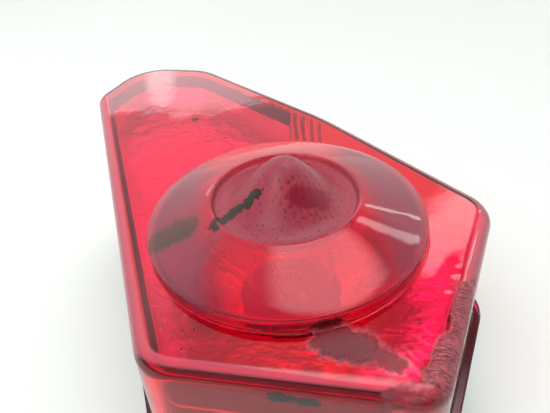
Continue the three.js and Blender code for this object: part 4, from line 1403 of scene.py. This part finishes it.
# ---------------------------------------------------------------------------------------------
# Floor, light and camera
# ---------------------------------------------------------------------------------------------


FLOOR_GAP = 0.0002


def make_floor():
    work = bmesh.new()
    bmesh.ops.create_grid(work, x_segments=2, y_segments=2, size=6)
    mesh = bpy.data.meshes.new("table_top")
    work.to_mesh(mesh)
    work.free()
    floor = bpy.data.objects.new("table_top", mesh)
    bpy.context.scene.collection.objects.link(floor)
    floor.location.z = cad_box[0].z - FLOOR_GAP
    mesh.materials.append(floor_material())


def direction(azimuth, elevation):
    """Unit vector for an azimuth from +X towards +Y and an elevation, in degrees."""
    a, e = math.radians(azimuth), math.radians(elevation)
    return Vector((math.cos(a) * math.cos(e), math.sin(a) * math.cos(e), math.sin(e)))


def make_card(name, azimuth, elevation, distance, width, height, power):
    """A soft light card that faces the bullseye."""
    data = bpy.data.lights.new(name, "AREA")
    data.shape = "RECTANGLE"
    data.size, data.size_y = width, height
    data.energy = power
    lamp = bpy.data.objects.new(name, data)
    towards = direction(azimuth, elevation)
    lamp.location = ORIGIN + towards * distance
    lamp.rotation_euler = towards.to_track_quat("Z", "Y").to_matrix().to_euler()
    bpy.context.scene.collection.objects.link(lamp)
    return lamp


# Long window strips as directions: start and end (azimuth, elevation), radius, soft edge, brightness
STRIPS = [
    ((63.0, 33), (55.5, 22), 0.010, 0.012, 4.5),
    ((56.5, 44), (46.5, 31), 0.022, 0.030, 4.0),
    ((80.0, 42), (76.0, 37), 0.020, 0.050, 3.5),
    ((126.0, 21), (117.0, 22), 0.050, 0.020, 1.5),
    ((112.5, 23), (105.5, 22.5), 0.055, 0.020, 1.5),
]


def make_world():
    """Studio surroundings: a pale room up to head height, dimmer above and in front, with window light."""
    world = bpy.data.worlds.new("studio")
    bpy.context.scene.world = world
    tree = Tree(world)
    background = tree.add("ShaderNodeBackground")
    output = tree.add("ShaderNodeOutputWorld")
    tree.links.new(background.outputs[0], output.inputs["Surface"])
    towards = tree.add("ShaderNodeTexCoord").outputs["Generated"]
    split = tree.add("ShaderNodeSeparateXYZ")
    tree.links.new(towards, split.inputs[0])
    right, back, up = split.outputs
    leaning = tree.plus(up, tree.times(right, 0.2))
    room = tree.times(tree.ramp(leaning, 0.62, 0.73, 1.02, 0.36), tree.ramp(back, -0.5, 0.4, 0.18, 1.0))
    above = tree.vector("DOT_PRODUCT", towards, tuple(direction(48, 74)))
    panel = tree.ramp(above, 0.905, 0.965, 0.0, 2.8)
    high_left = tree.vector("DOT_PRODUCT", towards, tuple(direction(125, 62)))
    total = tree.plus(tree.plus(room, panel), tree.ramp(high_left, 0.90, 0.975, 0.0, 0.45))
    for start, end, radius, soft, value in STRIPS:
        strip = tree.stroke(direction(*start), direction(*end), radius, soft, towards)
        total = tree.plus(total, tree.times(strip, value))
    tree.links.new(total, background.inputs["Color"])


# The fitted camera: its place in millimetres from ORIGIN, where it looks, its upward direction and lens
CAMERA_PLACE = Vector((19.07, -96.81, 82.77))
CAMERA_FORWARD = Vector((-0.17263, 0.76782, -0.61697))
CAMERA_UP = Vector((-0.05629, 0.61766, 0.78443))
CAMERA_LENS = 32.727


def make_camera():
    data = bpy.data.cameras.new("camera")
    data.sensor_width = 36
    data.lens = CAMERA_LENS
    data.clip_start = 0.005
    camera = bpy.data.objects.new("camera", data)
    bpy.context.scene.collection.objects.link(camera)
    forward = CAMERA_FORWARD.normalized()
    right = forward.cross(CAMERA_UP).normalized()
    up = right.cross(forward)
    camera.location = ORIGIN + CAMERA_PLACE * MM
    camera.rotation_euler = Matrix((right, up, -forward)).transposed().to_euler()
    bpy.context.scene.camera = camera


make_floor()
make_world()
make_card("fill", 235, 52, 1.0, 0.6, 0.6, 6.4).visible_glossy = False
make_camera()
bpy.context.scene.view_settings.view_transform = "Standard"
